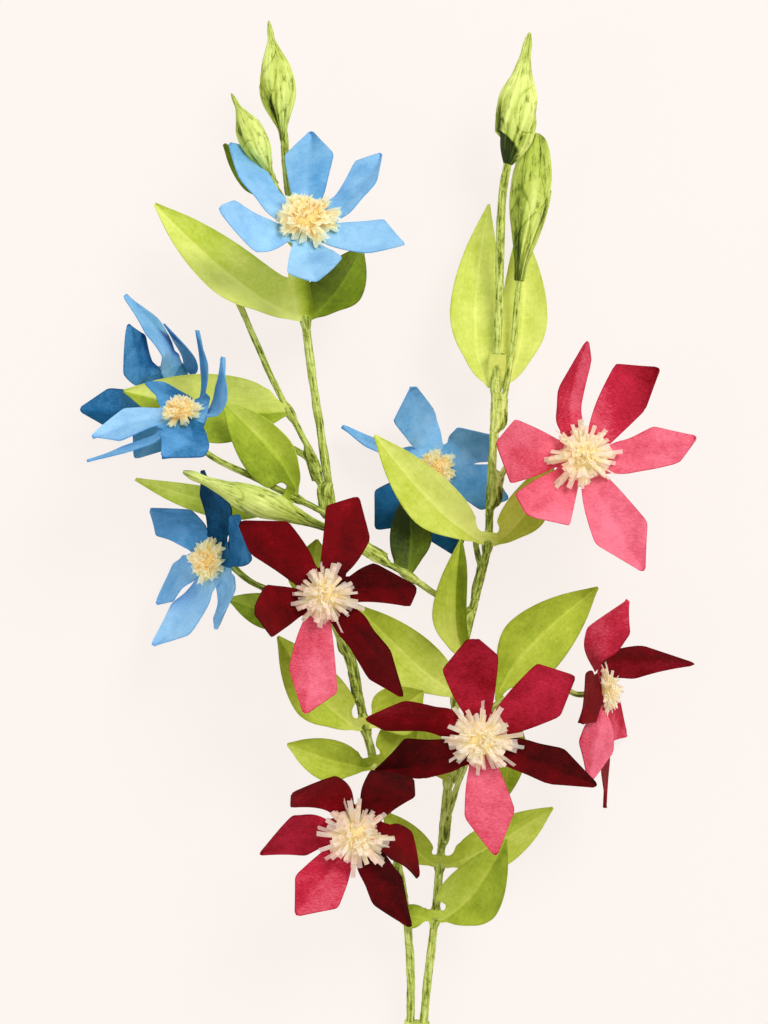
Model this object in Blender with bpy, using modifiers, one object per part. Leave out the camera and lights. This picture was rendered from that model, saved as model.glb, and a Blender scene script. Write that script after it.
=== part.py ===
# A spray of folded paper flowers: ten flowers, five buds and paired leaves on two wired green stems.
# It lies on its back. The stems run along +Y, the flowers face +Z. Tables are in millimetres.

import math

import bmesh
import bpy
from mathutils import Matrix, Vector

mm = 0.001

# Driving sizes
paper = 0.4
clearance = 0.3
petal_length = 39.0
petal_width = 18.0
petal_neck = 8.4
petal_tip_width = 2.0
petal_shoulder = 0.64
petal_crease = 0.8
hub_radius = 9.0
fringe_radius = 10.5
fringe_height = 9.0
fringe_root_radius = 4.2
leaf_width = 21.0
leaf_neck = 4.5
leaf_tip_width = 0.8
main_stem_radius = 1.4
side_stem_radius = 1.05
wrap_length = 8.0
calyx_length = 7.0
bud_radius = 5.6
bud_ridge = 0.12
bud_sides = 10
bud_twist = 0.9
tape_start = 12.0
tape_length = 46.0
tape_wall = 0.5
tape_rings = 5
fringe_points = 14
route_step = 9.0

# Shapes as shares: how far a petal or leaf bows outwards before it heads for its tip, how far a
# leaf follows its own line first, how far a petal's tip swings aside, and where on a petal its
# blade has turned fully from the hub's plane and its crease has reached full depth
petal_bow = 0.3
leaf_bow = 0.14
leaf_lead = 0.2
tip_swing = 0.22
turn_end = 0.45
crease_end = 0.3

# Sections along a bud: share of its length, share of its radius
bud_profile = [
    (0.0, 0.26), (0.1, 0.5), (0.26, 0.9), (0.42, 1.0), (0.6, 0.8), (0.78, 0.42), (0.92, 0.2), (1.0, 0.09),
]

# Sections along a leaf: share of its length, how far it has widened from its neck's and tip's line
leaf_profile = [(0.0, 0.0), (0.14, 0.5), (0.3, 0.88), (0.5, 1.0), (0.68, 0.86), (0.84, 0.52), (1.0, 0.0)]

# Where the two main stems run, from the cut end up to the top buds
main_routes = {
    "right_main_stem": [
        (11, -229, 2.2), (11, -216, 2.2), (12, -190, 5), (14, -163, 11), (17, -135, 18), (19, -112, 23),
        (21, -92, 26), (23, -69, 28), (26, -46, 29), (30, -29, 30), (34, -12, 30), (35, 4, 30),
        (36, 20, 30), (37, 42, 29), (38, 70, 28), (39, 103, 28), (41, 116, 28),
    ],
    "left_main_stem": [
        (7.2, -229, 2.2), (7.2, -216, 2.2), (8, -190, 5), (9, -163, 11), (8, -139, 17), (5, -119, 24),
        (0, -95, 28), (-4, -80, 30), (-7, -67, 31), (-11, -45, 32), (-14, -29, 32), (-16, -9, 31),
        (-18, 7, 30), (-21, 27, 30), (-24, 47, 30), (-26, 64, 30), (-28, 80, 28), (-30, 97, 27),
        (-32, 110, 27), (-33, 124, 28),
    ],
}

# Stems that carry no flower: the carrier, the place where each leaves it, and the rest of its way
plain_routes = {
    "fork_stem": ("left_main_stem", (-18, 7, 30),
                  [(-22, 15, 30), (-28, 27, 29), (-36, 42, 29), (-44, 60, 28), (-50, 73, 26), (-57, 82, 24)]),
    "bud_2_stem": ("left_main_stem", (-30, 97, 27), [(-35, 105, 31), (-37, 111, 33)]),
    "bud_3_stem": ("right_main_stem", (28.5, -35, 30), [
        (23, -31, 32), (14, -25, 35), (5, -19, 37), (-3, -15, 38), (-11, -10, 38), (-19, -5, 39),
    ]),
    "bud_5_stem": ("right_main_stem", (37, 36, 29), [
        (41, 45, 28.5), (43, 57, 27), (44, 68, 24), (45, 78, 22),
    ]),
}

# Buds: the stem each one ends, the place of its tip, and its share of bud_radius
buds = {
    "bud_1": ("left_main_stem", (-38, 162, 31), 1.0),
    "bud_2": ("bud_2_stem", (-50, 137, 40), 0.8),
    "bud_3": ("bud_3_stem", (-65, 13, 53), 0.82),
    "bud_4": ("right_main_stem", (48, 158, 32), 1.2),
    "bud_5": ("bud_5_stem", (51, 126, 20), 1.16),
}

# Flowers: hub centre, the way the face looks, the stem's carrier and way, the fringe's size, six petals.
# A petal is the place of its tip from the hub in shares of petal_length, the degrees that its blade
# is turned out of the face-up position, and how far its tip leans to one side.
flowers = {
    "blue_flower_1": {
        "hub": (-25, 94, 50), "face": (0.0, 0.50, 0.86), "colour": "blue_petal",
        "carrier": "left_main_stem", "leaves_at": (-28, 79, 28), "route": [(-26, 85, 35)],
        "fringe": 1.0, "petals": [
            (-0.66, 0.68, -0.34, 55, 0.6), (0.03, 0.79, -0.58, 20, 0.1), (0.60, 0.64, -0.46, 50, 0.4),
            (0.79, -0.18, 0.42, 40, -0.5), (0.09, -0.52, 0.72, 0, 0.0), (-0.72, 0.08, 0.42, 15, 0.3),
        ],
    },
    "blue_flower_2": {
        "hub": (-72, 42, 18), "face": (-0.55, 0.45, -0.70), "colour": "blue_petal",
        "carrier": "fork_stem", "leaves_at": (-24, 19, 30),
        "route": [(-32, 22, 25), (-45, 29, 21), (-57, 34, 22)],
        "fringe": 0.7, "petals": [
            (-0.39, 0.75, 0.10, 70, 0.4), (-0.34, 0.48, 0.50, 50, 0.2), (-0.05, 0.50, 0.20, 78, 0.0),
            (-0.74, -0.22, 0.20, 35, 0.4), (-0.30, -0.60, -0.10, 30, 0.0), (0.30, -0.40, -0.447, 30, 0.0),
        ],
    },
    "blue_flower_3": {
        "hub": (-65, 31, 57), "face": (-0.15, 0.75, 0.65), "colour": "blue_petal",
        "carrier": "bud_3_stem", "leaves_at": (-7, -12, 38),
        "route": [(-13, -5, 36), (-20, 0, 34), (-30, 5, 33), (-44, 12, 36), (-56, 18, 43)],
        "fringe": 0.7, "petals": [
            (-0.16, 0.32, -0.44, 45, 0.0), (0.12, 0.72, -0.20, 80, 0.3), (0.34, 0.48, 0.10, 72, 0.0),
            (-0.16, -0.32, 0.62, 30, 0.4), (-0.76, -0.14, -0.10, 55, 0.2), (-0.78, -0.34, 0.30, 80, 0.2),
        ],
    },
    "blue_flower_4": {
        "hub": (-57, -16, 30), "face": (-0.62, 0.05, 0.78), "colour": "blue_petal",
        "carrier": "left_main_stem", "leaves_at": (-12, -38, 32),
        "route": [(-20, -33, 34), (-32, -28, 33), (-44, -23, 29)],
        "fringe": 0.75, "petals": [
            (-0.52, 0.41, 0.34, 40, -0.4), (-0.02, 0.76, 0.16, 55, 0.4), (0.26, 0.38, 0.60, 50, 0.0),
            (-0.46, -0.37, -0.36, 60, 0.2), (-0.52, -0.70, -0.12, 50, 0.2), (0.05, -0.56, 0.40, 70, 0.0),
        ],
    },
    "blue_flower_5": {
        "hub": (17, 14, 12), "face": (0.05, 0.15, 0.98), "colour": "blue_petal",
        "carrier": "right_main_stem", "leaves_at": (32.5, -19, 30),
        "route": [(31, -13, 17), (30, -6, 5), (24, 3, 2.6)],
        "fringe": 0.7, "petals": [
            (-0.20, 0.70, 0.26, 30, 0.3), (0.52, 0.31, 0.14, 35, -0.3), (-0.78, 0.40, -0.10, 75, 0.2),
            (0.20, -0.74, -0.12, 10, 0.0), (0.64, -0.20, 0.02, 30, -0.4), (-0.50, -0.50, 0.10, 10, 0.0),
        ],
    },
    "crimson_flower_1": {
        "hub": (65, 18, 44), "face": (-0.05, 0.05, 1.0), "colour": "pink_petal",
        "carrier": "right_main_stem", "leaves_at": (35.6, 11, 30),
        "route": [(42, 16, 32), (50, 17, 34), (58, 17.5, 35)],
        "fringe": 1.0, "petals": [
            (0.05, 0.95, 0.12, 45, -0.4), (0.64, 0.75, -0.12, 5, 0.3), (0.96, 0.15, -0.08, 35, 0.2),
            (0.50, -0.95, 0.02, 0, 0.5), (-0.40, -0.54, 0.50, 0, -0.4), (-0.74, 0.10, 0.42, 0, 0.4),
        ],
    },
    "crimson_flower_2": {
        "hub": (-19, -27, 60), "face": (0.0, 0.0, 1.0), "colour": "crimson_petal",
        "carrier": "left_main_stem", "leaves_at": (-10, -53, 31), "route": [(-13, -45, 37), (-17, -35, 44)],
        "fringe": 0.9, "petals": [
            (-0.69, 0.60, 0.20, 15, -0.3), (0.17, 0.84, -0.20, 10, 0.4), (0.73, 0.02, 0.42, 15, -0.3),
            (0.62, -0.84, 0.02, 45, 0.4), (-0.16, -0.96, 0.12, 5, 0.4), (-0.54, -0.12, 0.60, 10, 0.0),
        ],
    },
    "crimson_flower_3": {
        "hub": (31, -73, 60), "face": (0.0, -0.05, 1.0), "colour": "crimson_petal",
        "carrier": "right_main_stem", "leaves_at": (20.5, -101, 25), "route": [(23, -94, 31), (26, -84, 41)],
        "fringe": 1.0, "petals": [
            (-0.07, 0.84, 0.26, 0, 0.4), (0.76, 0.52, 0.18, 0, -0.4), (0.96, -0.38, -0.02, 30, 0.5),
            (0.12, -0.94, 0.16, 0, -0.2), (-0.87, -0.27, -0.12, 30, -0.4), (-0.94, 0.18, 0.24, 45, 0.3),
        ],
    },
    "crimson_flower_4": {
        "hub": (-9, -104, 54), "face": (0.0, -0.25, 0.96), "colour": "crimson_petal",
        "carrier": "left_main_stem", "leaves_at": (5, -119, 24), "route": [(-1, -115, 32), (-6, -110, 40)],
        "fringe": 1.0, "petals": [
            (-0.57, 0.32, 0.50, 40, 0.0), (0.49, 0.48, 0.46, 25, 0.2), (0.52, -0.40, -0.40, 45, 0.3),
            (0.43, -0.78, 0.02, 35, 0.4), (-0.49, -0.66, 0.12, 0, -0.3), (-0.80, -0.18, -0.18, 38, -0.3),
        ],
    },
    "crimson_flower_5": {
        "hub": (71, -59, 40), "face": (0.96, 0.10, 0.12), "colour": "pink_petal",
        "carrier": "right_main_stem", "leaves_at": (22.5, -80, 27),
        "route": [(32, -68, 32), (45, -60, 36), (58, -58, 38)],
        "fringe": 0.7, "petals": [
            (0.24, 0.76, -0.18, 45, 0.0), (0.80, 0.20, -0.20, 50, 0.2), (-0.18, -0.20, 0.62, 50, 0.2),
            (-0.12, -0.74, 0.18, 45, 0.2), (0.04, -0.98, -0.16, 78, 0.0), (0.28, -0.42, -1.015, 50, 0.0),
        ],
    },
}

# Leaf pairs: carrier, place on it, whether the piece sits in front of the stem (1) or behind it (-1),
# then for each leaf its tip, width share, fold and roll in degrees
leaf_pairs = {
    "leaf_pair_1": ("left_main_stem", (-26, 64, 30), 1,
                    ((-76, 102, 24), 1.0, 25, 20), ((-7, 88, 20), 0.8, 20, 0)),
    "leaf_pair_2": ("blue_flower_3_stem", (-30, 5, 33), 1,
                    ((-53, 36, 40), 1.0, 25, 0), ((-83, 11, 14), 0.5, 20, 0)),
    "leaf_pair_3": ("blue_flower_4_stem", (-26, -31, 34), -1,
                    ((-22, -9, 42), 0.8, 20, 0), ((-52, -29, 19), 0.6, 20, 0)),
    "leaf_pair_4": ("left_main_stem", (-6, -70, 31), 1,
                    ((-35, -41, 30), 0.85, 25, 0), ((13, -59, 33), 0.8, 25, 0)),
    "leaf_pair_5": ("left_main_stem", (-4, -84, 30), 1,
                    ((-32, -77, 26), 0.6, 20, 0), ((9, -66, 24), 0.6, 20, 0)),
    "leaf_pair_6": ("right_main_stem", (37, 42, 29), -1,
                    ((35, 103, 12), 0.85, 20, 0), ((46, 97, 0.1), 0.8, 20, 0)),
    "leaf_pair_7": ("right_main_stem", (34, -10, 30), 1,
                    ((-3, 25, 44), 0.9, 25, 0), ((56, 17, 20), 0.7, 20, 0)),
    "leaf_pair_8": ("crimson_flower_5_stem", (38, -64, 34), -1,
                    ((71, -25, 22), 1.1, 22, 0), ((40, -96, 20), 0.6, 20, 0)),
    "leaf_pair_9": ("right_main_stem", (19, -117, 23), 1,
                    ((0, -99, 30), 0.6, 20, 0), ((56, -98, 24), 0.8, 25, 0)),
    "leaf_pair_10": ("right_main_stem", (17, -135, 18), 1,
                     ((40, -107, 40), 1.1, 30, 0), ((3, -133, 22), 0.4, 20, 0)),
}

# Single leaves: the same, with one leaf
single_leaves = {
    "leaf_1": ("fork_stem", (-31, 33, 29), 1, (-86, 40, 29), 1.15, 20, 0),
    "leaf_2": ("bud_3_stem", (8, -21, 36), -1, (8, 7, 20), 0.7, 20, 0),
    "leaf_3": ("right_main_stem", (25, -48, 29), 1, (25, -9, 46), 0.8, 25, 0),
    "leaf_4": ("right_main_stem", (24, -61, 28), 1, (-9, -31, 22), 0.9, 20, 0),
    "leaf_5": ("right_main_stem", (21.5, -88, 26), 1, (12, -66, 32), 0.6, 25, 0),
    "leaf_6": ("bud_2_stem", (-34, 103.5, 30), -1, (-53, 122, 24), 0.5, 20, 0),
}

colours = {
    "blue_petal": (0.14, 0.38, 0.74, 0.75),
    "crimson_petal": (0.30, 0.004, 0.02, 0.75),
    "pink_petal": (0.62, 0.05, 0.12, 0.75),
    "warm_fringe": (0.95, 0.74, 0.40, 0.85),
    "pale_fringe": (0.96, 0.78, 0.62, 0.85),
    "leaf": (0.34, 0.50, 0.07, 0.7),
    "stem_wrap": (0.36, 0.44, 0.08, 0.8),
    "bud": (0.44, 0.56, 0.12, 0.75),
    "binding": (0.40, 0.48, 0.10, 0.8),
}


def clear_scene():
    for item in list(bpy.data.objects):
        bpy.data.objects.remove(item, do_unlink=True)


def make_material(name):
    red, green, blue, roughness = colours[name]
    material = bpy.data.materials.new(name)
    material.use_nodes = True
    shader = material.node_tree.nodes["Principled BSDF"]
    shader.inputs["Base Color"].default_value = (red, green, blue, 1.0)
    shader.inputs["Roughness"].default_value = roughness
    shader.inputs["Metallic"].default_value = 0.0
    return material


# An object from a list of points and faces, in millimetres
def mesh_object(name, points, faces, slot, thickness=0.0):
    mesh = bpy.data.meshes.new(name)
    work = bmesh.new()
    corners = [work.verts.new(Vector(point) * mm) for point in points]
    for face in faces:
        work.faces.new([corners[index] for index in face])
    bmesh.ops.recalc_face_normals(work, faces=work.faces)
    work.to_mesh(mesh)
    work.free()
    item = bpy.data.objects.new(name, mesh)
    item.data.materials.append(make_material(slot))
    spray.objects.link(item)
    item.parent = holder
    if thickness:
        shell = item.modifiers.new("thickness", "SOLIDIFY")
        shell.thickness = thickness * mm
        shell.offset = 0.0
    return item


# The part of a vector that is square to an axis, at length one
def square_to(vector, axis):
    axis = axis.normalized()
    return (vector - axis * vector.dot(axis)).normalized()


def mix(low, high, share):
    return low + (high - low) * share


def ease(share):
    share = min(max(share, 0.0), 1.0)
    return share * share * (3.0 - 2.0 * share)


def as_vectors(points):
    return [Vector(point) for point in points]


# A smooth curve through the route's points, read about every step along it
def smooth_route(points, step):
    points = as_vectors(points)
    ends = [points[0] * 2 - points[1]] + points + [points[-1] * 2 - points[-2]]
    route = []
    for index in range(1, len(ends) - 2):
        before, start, finish, after = ends[index - 1:index + 3]
        count = max(1, round((finish - start).length / step))
        for part in range(count):
            t = part / count
            route.append(0.5 * (2 * start + (finish - before) * t
                                + (2 * before - 5 * start + 4 * finish - after) * t * t
                                + (3 * start - before - 3 * finish + after) * t ** 3))
    route.append(points[-1])
    return route


# The place on a fine route that lies nearest to a point: its index and the route's direction there
def nearest_on(route, point):
    target = Vector(point)
    index = min(range(1, len(route) - 1), key=lambda i: (route[i] - target).length)
    return index, (route[index + 1] - route[index - 1]).normalized()


def tube(name, points, radius, slot, resolution):
    curve = bpy.data.curves.new(name, "CURVE")
    curve.dimensions = "3D"
    curve.bevel_depth = radius * mm
    curve.bevel_resolution = resolution
    curve.use_fill_caps = True
    spline = curve.splines.new("POLY")
    spline.points.add(len(points) - 1)
    for corner, point in zip(spline.points, points):
        corner.co = (*(Vector(point) * mm), 1.0)
    item = bpy.data.objects.new(name, curve)
    item.data.materials.append(make_material(slot))
    spray.objects.link(item)
    item.parent = holder
    return item


stems = {}


# A stem object; its fine route and radius stay in stems, so that leaves and side stems can find it
def make_stem(name, points, radius):
    stems[name] = (smooth_route(points, 1.0), radius)
    resolution = 2 if radius > side_stem_radius else 1
    tube(name, smooth_route(points, route_step), radius, "stem_wrap", resolution)


# A side stem first runs along its carrier, wrap_length long and one clearance away, then leaves it
def side_route(carrier, leaves_at, onward):
    route, radius = stems[carrier]
    index, along = nearest_on(route, leaves_at)
    beside = square_to(Vector(onward[0]) - route[index], along) * (radius + side_stem_radius + clearance)
    first = max(1, index - round(wrap_length))
    middle = (first + index) // 2
    return [route[place] + beside for place in (first, middle, index)] + as_vectors(onward)


# The faces between rings of points that follow one another, each ring closed on itself
def ring_faces(rings):
    sides = len(rings[0])
    faces = []
    for row in range(len(rings) - 1):
        here = row * sides
        for side in range(sides):
            other = (side + 1) % sides
            faces.append((here + side, here + other, here + sides + other, here + sides + side))
    return faces


# Rings joined into one closed body; a ring is a list of points, and both ends are flat faces
def loft(name, rings, slot):
    sides = len(rings[0])
    points = [point for ring in rings for point in ring]
    faces = ring_faces(rings)
    faces.append(tuple(range(sides)))
    faces.append(tuple((len(rings) - 1) * sides + side for side in range(sides)))
    return mesh_object(name, points, faces, slot)


# A bud is a wrapped spindle: ridges that turn round it, narrow at the stem, pointed at the tip
def make_bud(name, carrier, tip, share_of_radius):
    route = stems[carrier][0]
    base = route[-1] + (route[-1] - route[-2]).normalized() * clearance
    tip = Vector(tip)
    axis = (tip - base).normalized()
    first = square_to(Vector((0, 0, 1)), axis)
    second = axis.cross(first)
    rings = []
    for share, size in bud_profile:
        ring = []
        for side in range(bud_sides):
            angle = math.tau * side / bud_sides + bud_twist * share
            reach = bud_radius * share_of_radius * size * (1.0 + (bud_ridge if side % 2 else -bud_ridge))
            ring.append(base.lerp(tip, share) + (first * math.cos(angle) + second * math.sin(angle)) * reach)
        rings.append(ring)
    loft(name, rings, "bud")


# The two directions that span a flower's face
def face_axes(face):
    face = Vector(face).normalized()
    across = square_to(Vector((1, 0, 0)), face) if abs(face.x) < 0.9 else square_to(Vector((0, 0, 1)), face)
    return face, across, face.cross(across)


# The way across a blade that runs along axis and is turned so many degrees from lying face up.
# Of the two ways to turn it, the one that lies nearer to its root is taken.
def turned_way(axis, turn, root_way):
    flat_way = square_to(axis.cross(Vector((0, 0, 1))), axis)
    if flat_way.dot(root_way) < 0:
        flat_way = -flat_way
    ways = [Matrix.Rotation(math.radians(sign * turn), 3, axis) @ flat_way for sign in (1, -1)]
    return max(ways, key=lambda way: way.dot(root_way))


# One sheet with six petals: a flat hub, and from each sixth of its rim a petal out to its tip
def make_corolla(name, flower):
    hub = Vector(flower["hub"])
    face, across, upward = face_axes(flower["face"])
    reaches = []
    for x, y, z, turn, lean in flower["petals"]:
        reach = Vector((x, y, z)) * petal_length
        reaches.append((math.atan2(reach.dot(upward), reach.dot(across)), reach, turn, lean))
    reaches.sort(key=lambda item: item[0])
    offsets = [item[0] - math.tau * index / 6 for index, item in enumerate(reaches)]
    spin = sum(offsets) / 6
    half_angle = math.asin(petal_neck / 2 / hub_radius)
    points = []
    faces = []
    hub_face = []
    for index, (_, reach, turn, lean) in enumerate(reaches):
        angle = spin + math.tau * index / 6
        outward = across * math.cos(angle) + upward * math.sin(angle)
        sideways = upward * math.cos(angle) - across * math.sin(angle)
        start = hub + outward * hub_radius * math.cos(half_angle)
        tip = hub + reach
        axis = (tip - start).normalized()
        width_way = turned_way(axis, turn, sideways)
        bend = start + outward * petal_bow * (tip - start).length
        stations = [
            (0.0, 0.0, petal_neck), (0.3, 0.3, mix(petal_neck, petal_width, 0.55)),
            (petal_shoulder + 0.1 * lean, petal_shoulder - 0.1 * lean, petal_width),
            (0.88, 0.88, mix(petal_width, petal_tip_width, 0.62)), (1.0, 1.0, petal_tip_width),
        ]
        for row, (left_share, right_share, width) in enumerate(stations):
            middle_share = (left_share + right_share) / 2
            lean_shift = lean * petal_width * tip_swing * ease((middle_share - 0.5) / 0.5)
            corners = []
            for share, side in ((left_share, 1), (middle_share, 0), (right_share, -1)):
                spine = start.lerp(bend, share).lerp(bend.lerp(tip, share), share)
                blade_way = square_to(sideways.lerp(width_way, ease(share / turn_end)), axis)
                across_way = blade_way if row else sideways
                depth = petal_crease * ease(share / crease_end) if side == 0 else 0.0
                sink = axis.cross(across_way) * depth
                corners.append(spine + across_way * (side * width / 2 + lean_shift) - sink)
            points.extend(corners)
            here = len(points) - 3
            if row:
                faces.append((here - 3, here, here + 1, here - 2))
                faces.append((here - 2, here + 1, here + 2, here - 1))
        first = len(points) - 3 * len(stations)
        hub_face.extend((first + 2, first + 1, first))
    faces.append(tuple(hub_face))
    mesh_object(name, points, faces, flower["colour"], paper)


# A rolled fringe: a short root that stands on the hub, and rings of ragged strips that flare from it
def make_fringe(name, flower):
    face, across, upward = face_axes(flower["face"])
    size = flower["fringe"]
    base = Vector(flower["hub"]) + face * (paper / 2 + clearance)
    rings = []
    profile = [
        (0.0, fringe_root_radius, fringe_root_radius), (0.3, fringe_root_radius, fringe_root_radius),
        (0.5, fringe_radius, 0.6 * fringe_radius), (0.78, 0.62 * fringe_radius, 0.9 * fringe_radius),
        (0.86, 0.6 * fringe_radius, 0.36 * fringe_radius), (1.0, 0.2 * fringe_radius, 0.34 * fringe_radius),
    ]
    for share, even, odd in profile:
        centre = base + face * size * fringe_height * share
        ring = []
        for side in range(fringe_points):
            angle = math.tau * side / fringe_points
            outward = across * math.cos(angle) + upward * math.sin(angle)
            ring.append(centre + outward * size * (odd if side % 2 else even))
        rings.append(ring)
    loft(name, rings, "warm_fringe" if flower["colour"] == "blue_petal" else "pale_fringe")


# Rows of three points for one leaf, from its neck to its tip: one edge, the folded midrib, other edge
def leaf_rows(start, outward, neck_way, tip, width, fold, roll):
    tip = Vector(tip)
    axis = (tip - start).normalized()
    front = Vector((0, 0, 1))
    width_way = square_to(axis.cross(front) if abs(axis.z) < 0.95 else neck_way, axis)
    if width_way.dot(neck_way) < 0:
        width_way = -width_way
    width_way = Matrix.Rotation(math.radians(roll), 3, axis) @ width_way
    up_way = axis.cross(width_way)
    if up_way.z < 0:
        up_way = -up_way
    bend = start + (outward * leaf_bow + axis * leaf_lead) * (tip - start).length
    fold = math.radians(fold)
    rows = []
    for share, size in leaf_profile:
        spine = start.lerp(bend, share).lerp(bend.lerp(tip, share), share)
        narrow = mix(leaf_neck, leaf_tip_width, share)
        half = (narrow + (width - narrow) * size) / 2
        turn = ease(share / crease_end)
        side_way = neck_way.lerp(width_way, turn).normalized()
        lift = up_way * half * math.sin(fold) * turn
        reach = side_way * half * mix(1.0, math.cos(fold), turn)
        rows.append((spine + reach + lift, spine, spine - reach + lift))
    return rows


def sheet_from_rows(name, rows):
    points = [point for row in rows for point in row]
    faces = []
    for row in range(len(rows) - 1):
        for column in (0, 1):
            here = 3 * row + column
            faces.append((here, here + 1, here + 4, here + 3))
    mesh_object(name, points, faces, "leaf", paper)


# The seat of a leaf on its stem: a point one clearance in front of it or behind it, and its directions
def leaf_seat(carrier, place, layer):
    route, radius = stems[carrier]
    index, along = nearest_on(route, place)
    front = square_to(Vector((0, 0, 1)), along)
    seat = route[index] + front * layer * (radius + clearance + paper / 2)
    return seat, along, along.cross(front), radius


# One piece that crosses the stem, with a leaf on either side
def make_leaf_pair(name, carrier, place, layer, *leaves):
    seat, along, aside, radius = leaf_seat(carrier, place, layer)
    tips = [Vector(leaf[0]) - seat for leaf in leaves]
    side = 1 if tips[0].dot(aside) > tips[1].dot(aside) else -1
    halves = []
    for outward, (tip, share, fold, roll) in zip((aside * side, -aside * side), leaves):
        start = seat + outward * (radius + leaf_neck / 4)
        halves.append(leaf_rows(start, outward, along, tip, leaf_width * share, fold, roll))
    band = (seat + along * leaf_neck / 2, seat, seat - along * leaf_neck / 2)
    sheet_from_rows(name, halves[0][::-1] + [band] + halves[1])


def make_single_leaf(name, carrier, place, layer, tip, share, fold, roll):
    seat, along, aside, radius = leaf_seat(carrier, place, layer)
    side = 1 if (Vector(tip) - seat).dot(aside) > 0 else -1
    start = seat - aside * side * radius
    sheet_from_rows(name, leaf_rows(start, aside * side, along, tip, leaf_width * share, fold, roll))


# The tape round both main stems where a hand holds them
def make_binding():
    left, radius = stems["left_main_stem"]
    right = stems["right_main_stem"][0]
    reach = radius + clearance + tape_wall / 2
    rings = []
    for row in range(tape_rings):
        y = right[0].y + tape_start + tape_length * row / (tape_rings - 1)
        ring = []
        for route, turn in ((right, -90), (left, 90)):
            centre = min(route, key=lambda point: abs(point.y - y))
            for step in range(5):
                angle = math.radians(turn + 45 * step)
                outward = Vector((math.cos(angle), 0.0, math.sin(angle)))
                ring.append(Vector((centre.x, y, centre.z)) + outward * reach)
        rings.append(ring)
    points = [point for ring in rings for point in ring]
    mesh_object("binding_tape", points, ring_faces(rings), "binding", tape_wall)


# The holder is moved so that the box of everything stands centred on the origin, on the floor
def seat_on_floor():
    bpy.context.view_layer.update()
    graph = bpy.context.evaluated_depsgraph_get()
    low = Vector((1e9, 1e9, 1e9))
    high = -low
    for item in spray.objects:
        if item.type == "EMPTY":
            continue
        seen = item.evaluated_get(graph)
        shape = seen.to_mesh()
        for corner in shape.vertices:
            low = Vector(map(min, low, corner.co))
            high = Vector(map(max, high, corner.co))
        seen.to_mesh_clear()
    holder.location = (-(low.x + high.x) / 2, -(low.y + high.y) / 2, -low.z)
    print("spray box in mm", [round(value / mm, 2) for value in (*low, *high)])


clear_scene()
spray = bpy.data.collections.new("paper_flower_spray")
bpy.context.scene.collection.children.link(spray)
holder = bpy.data.objects.new("spray_holder", None)
spray.objects.link(holder)

for stem_name, route_points in main_routes.items():
    make_stem(stem_name, route_points, main_stem_radius)
for stem_name, (stem_carrier, leaving, onward_points) in plain_routes.items():
    make_stem(stem_name, side_route(stem_carrier, leaving, onward_points), side_stem_radius)
for flower_name, entry in flowers.items():
    facing = Vector(entry["face"]).normalized()
    stem_end = Vector(entry["hub"]) - facing * (paper / 2 + clearance)
    onward_points = entry["route"] + [stem_end - facing * calyx_length, stem_end]
    whole_way = side_route(entry["carrier"], entry["leaves_at"], onward_points)
    make_stem(flower_name + "_stem", whole_way, side_stem_radius)
    make_corolla(flower_name, entry)
    make_fringe(flower_name + "_fringe", entry)
for bud_name, (bud_carrier, bud_tip, radius_of_bud) in buds.items():
    make_bud(bud_name, bud_carrier, bud_tip, radius_of_bud)
for pair_name, pair in leaf_pairs.items():
    make_leaf_pair(pair_name, *pair)
for leaf_name, leaf in single_leaves.items():
    make_single_leaf(leaf_name, *leaf)
make_binding()
seat_on_floor()
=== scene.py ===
# Looks of a paper flower spray: cut petals, fringed centres, crumpled buds and folded leaves
# on two taped wire stems. The tables are in millimetres, laid out on the maker's table.

import math

import bmesh
import bpy
import numpy as np
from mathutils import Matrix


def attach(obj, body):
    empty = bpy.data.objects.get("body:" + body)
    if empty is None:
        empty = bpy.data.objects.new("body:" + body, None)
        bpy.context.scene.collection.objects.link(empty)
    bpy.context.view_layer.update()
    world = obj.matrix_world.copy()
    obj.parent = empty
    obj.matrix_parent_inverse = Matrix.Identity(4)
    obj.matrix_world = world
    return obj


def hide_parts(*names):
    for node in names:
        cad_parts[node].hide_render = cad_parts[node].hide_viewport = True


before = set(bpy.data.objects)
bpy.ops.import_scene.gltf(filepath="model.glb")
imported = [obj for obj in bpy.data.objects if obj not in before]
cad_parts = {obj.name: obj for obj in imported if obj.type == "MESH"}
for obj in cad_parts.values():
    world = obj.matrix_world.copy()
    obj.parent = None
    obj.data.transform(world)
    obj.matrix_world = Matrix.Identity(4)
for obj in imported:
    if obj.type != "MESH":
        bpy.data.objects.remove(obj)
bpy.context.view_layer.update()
mm = 0.001

# Sizes shared by many pieces
sizes = {
    "paper": 0.4, "sheetWall": 0.34, "clearance": 0.3,
    "petalLength": 39.0, "petalWidth": 18.0, "petalNeck": 8.4, "petalTip": 1.6, "shoulder": 0.64,
    "petalCrease": 0.8, "petalBow": 0.3, "hubRadius": 9.0,
    "fringeRadius": 10.5, "fringeHeight": 9.0,
    "leafWidth": 21.0, "leafNeck": 4.5, "leafTip": 0.8, "leafBow": 0.14, "leafLead": 0.2,
    "mainStem": 1.4, "sideStem": 1.05, "wrapLength": 8, "calyxLength": 7.0,
    "budRadius": 5.6, "tapeStart": 12.0, "tapeLength": 46.0, "tapeWall": 0.5,
}


# Vector sums on whole arrays; the last axis holds x, y, z
def unit(vectors):
    vectors = np.asarray(vectors, float)
    return vectors / np.linalg.norm(vectors, axis=-1, keepdims=True)


def along(vectors, axis):
    return np.sum(np.asarray(vectors) * np.asarray(axis), axis=-1, keepdims=True)


# The part of a vector that is square to an axis, at length one
def squareTo(vectors, axis):
    axis = unit(axis)
    return unit(np.asarray(vectors, float) - axis * along(vectors, axis))


def mix(low, high, share):
    return low + (high - low) * share


# Slow start and slow end: 3 s squared less 2 s cubed
def ease(share):
    share = np.clip(share, 0.0, 1.0)
    return share * share * (3.0 - 2.0 * share)


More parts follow.
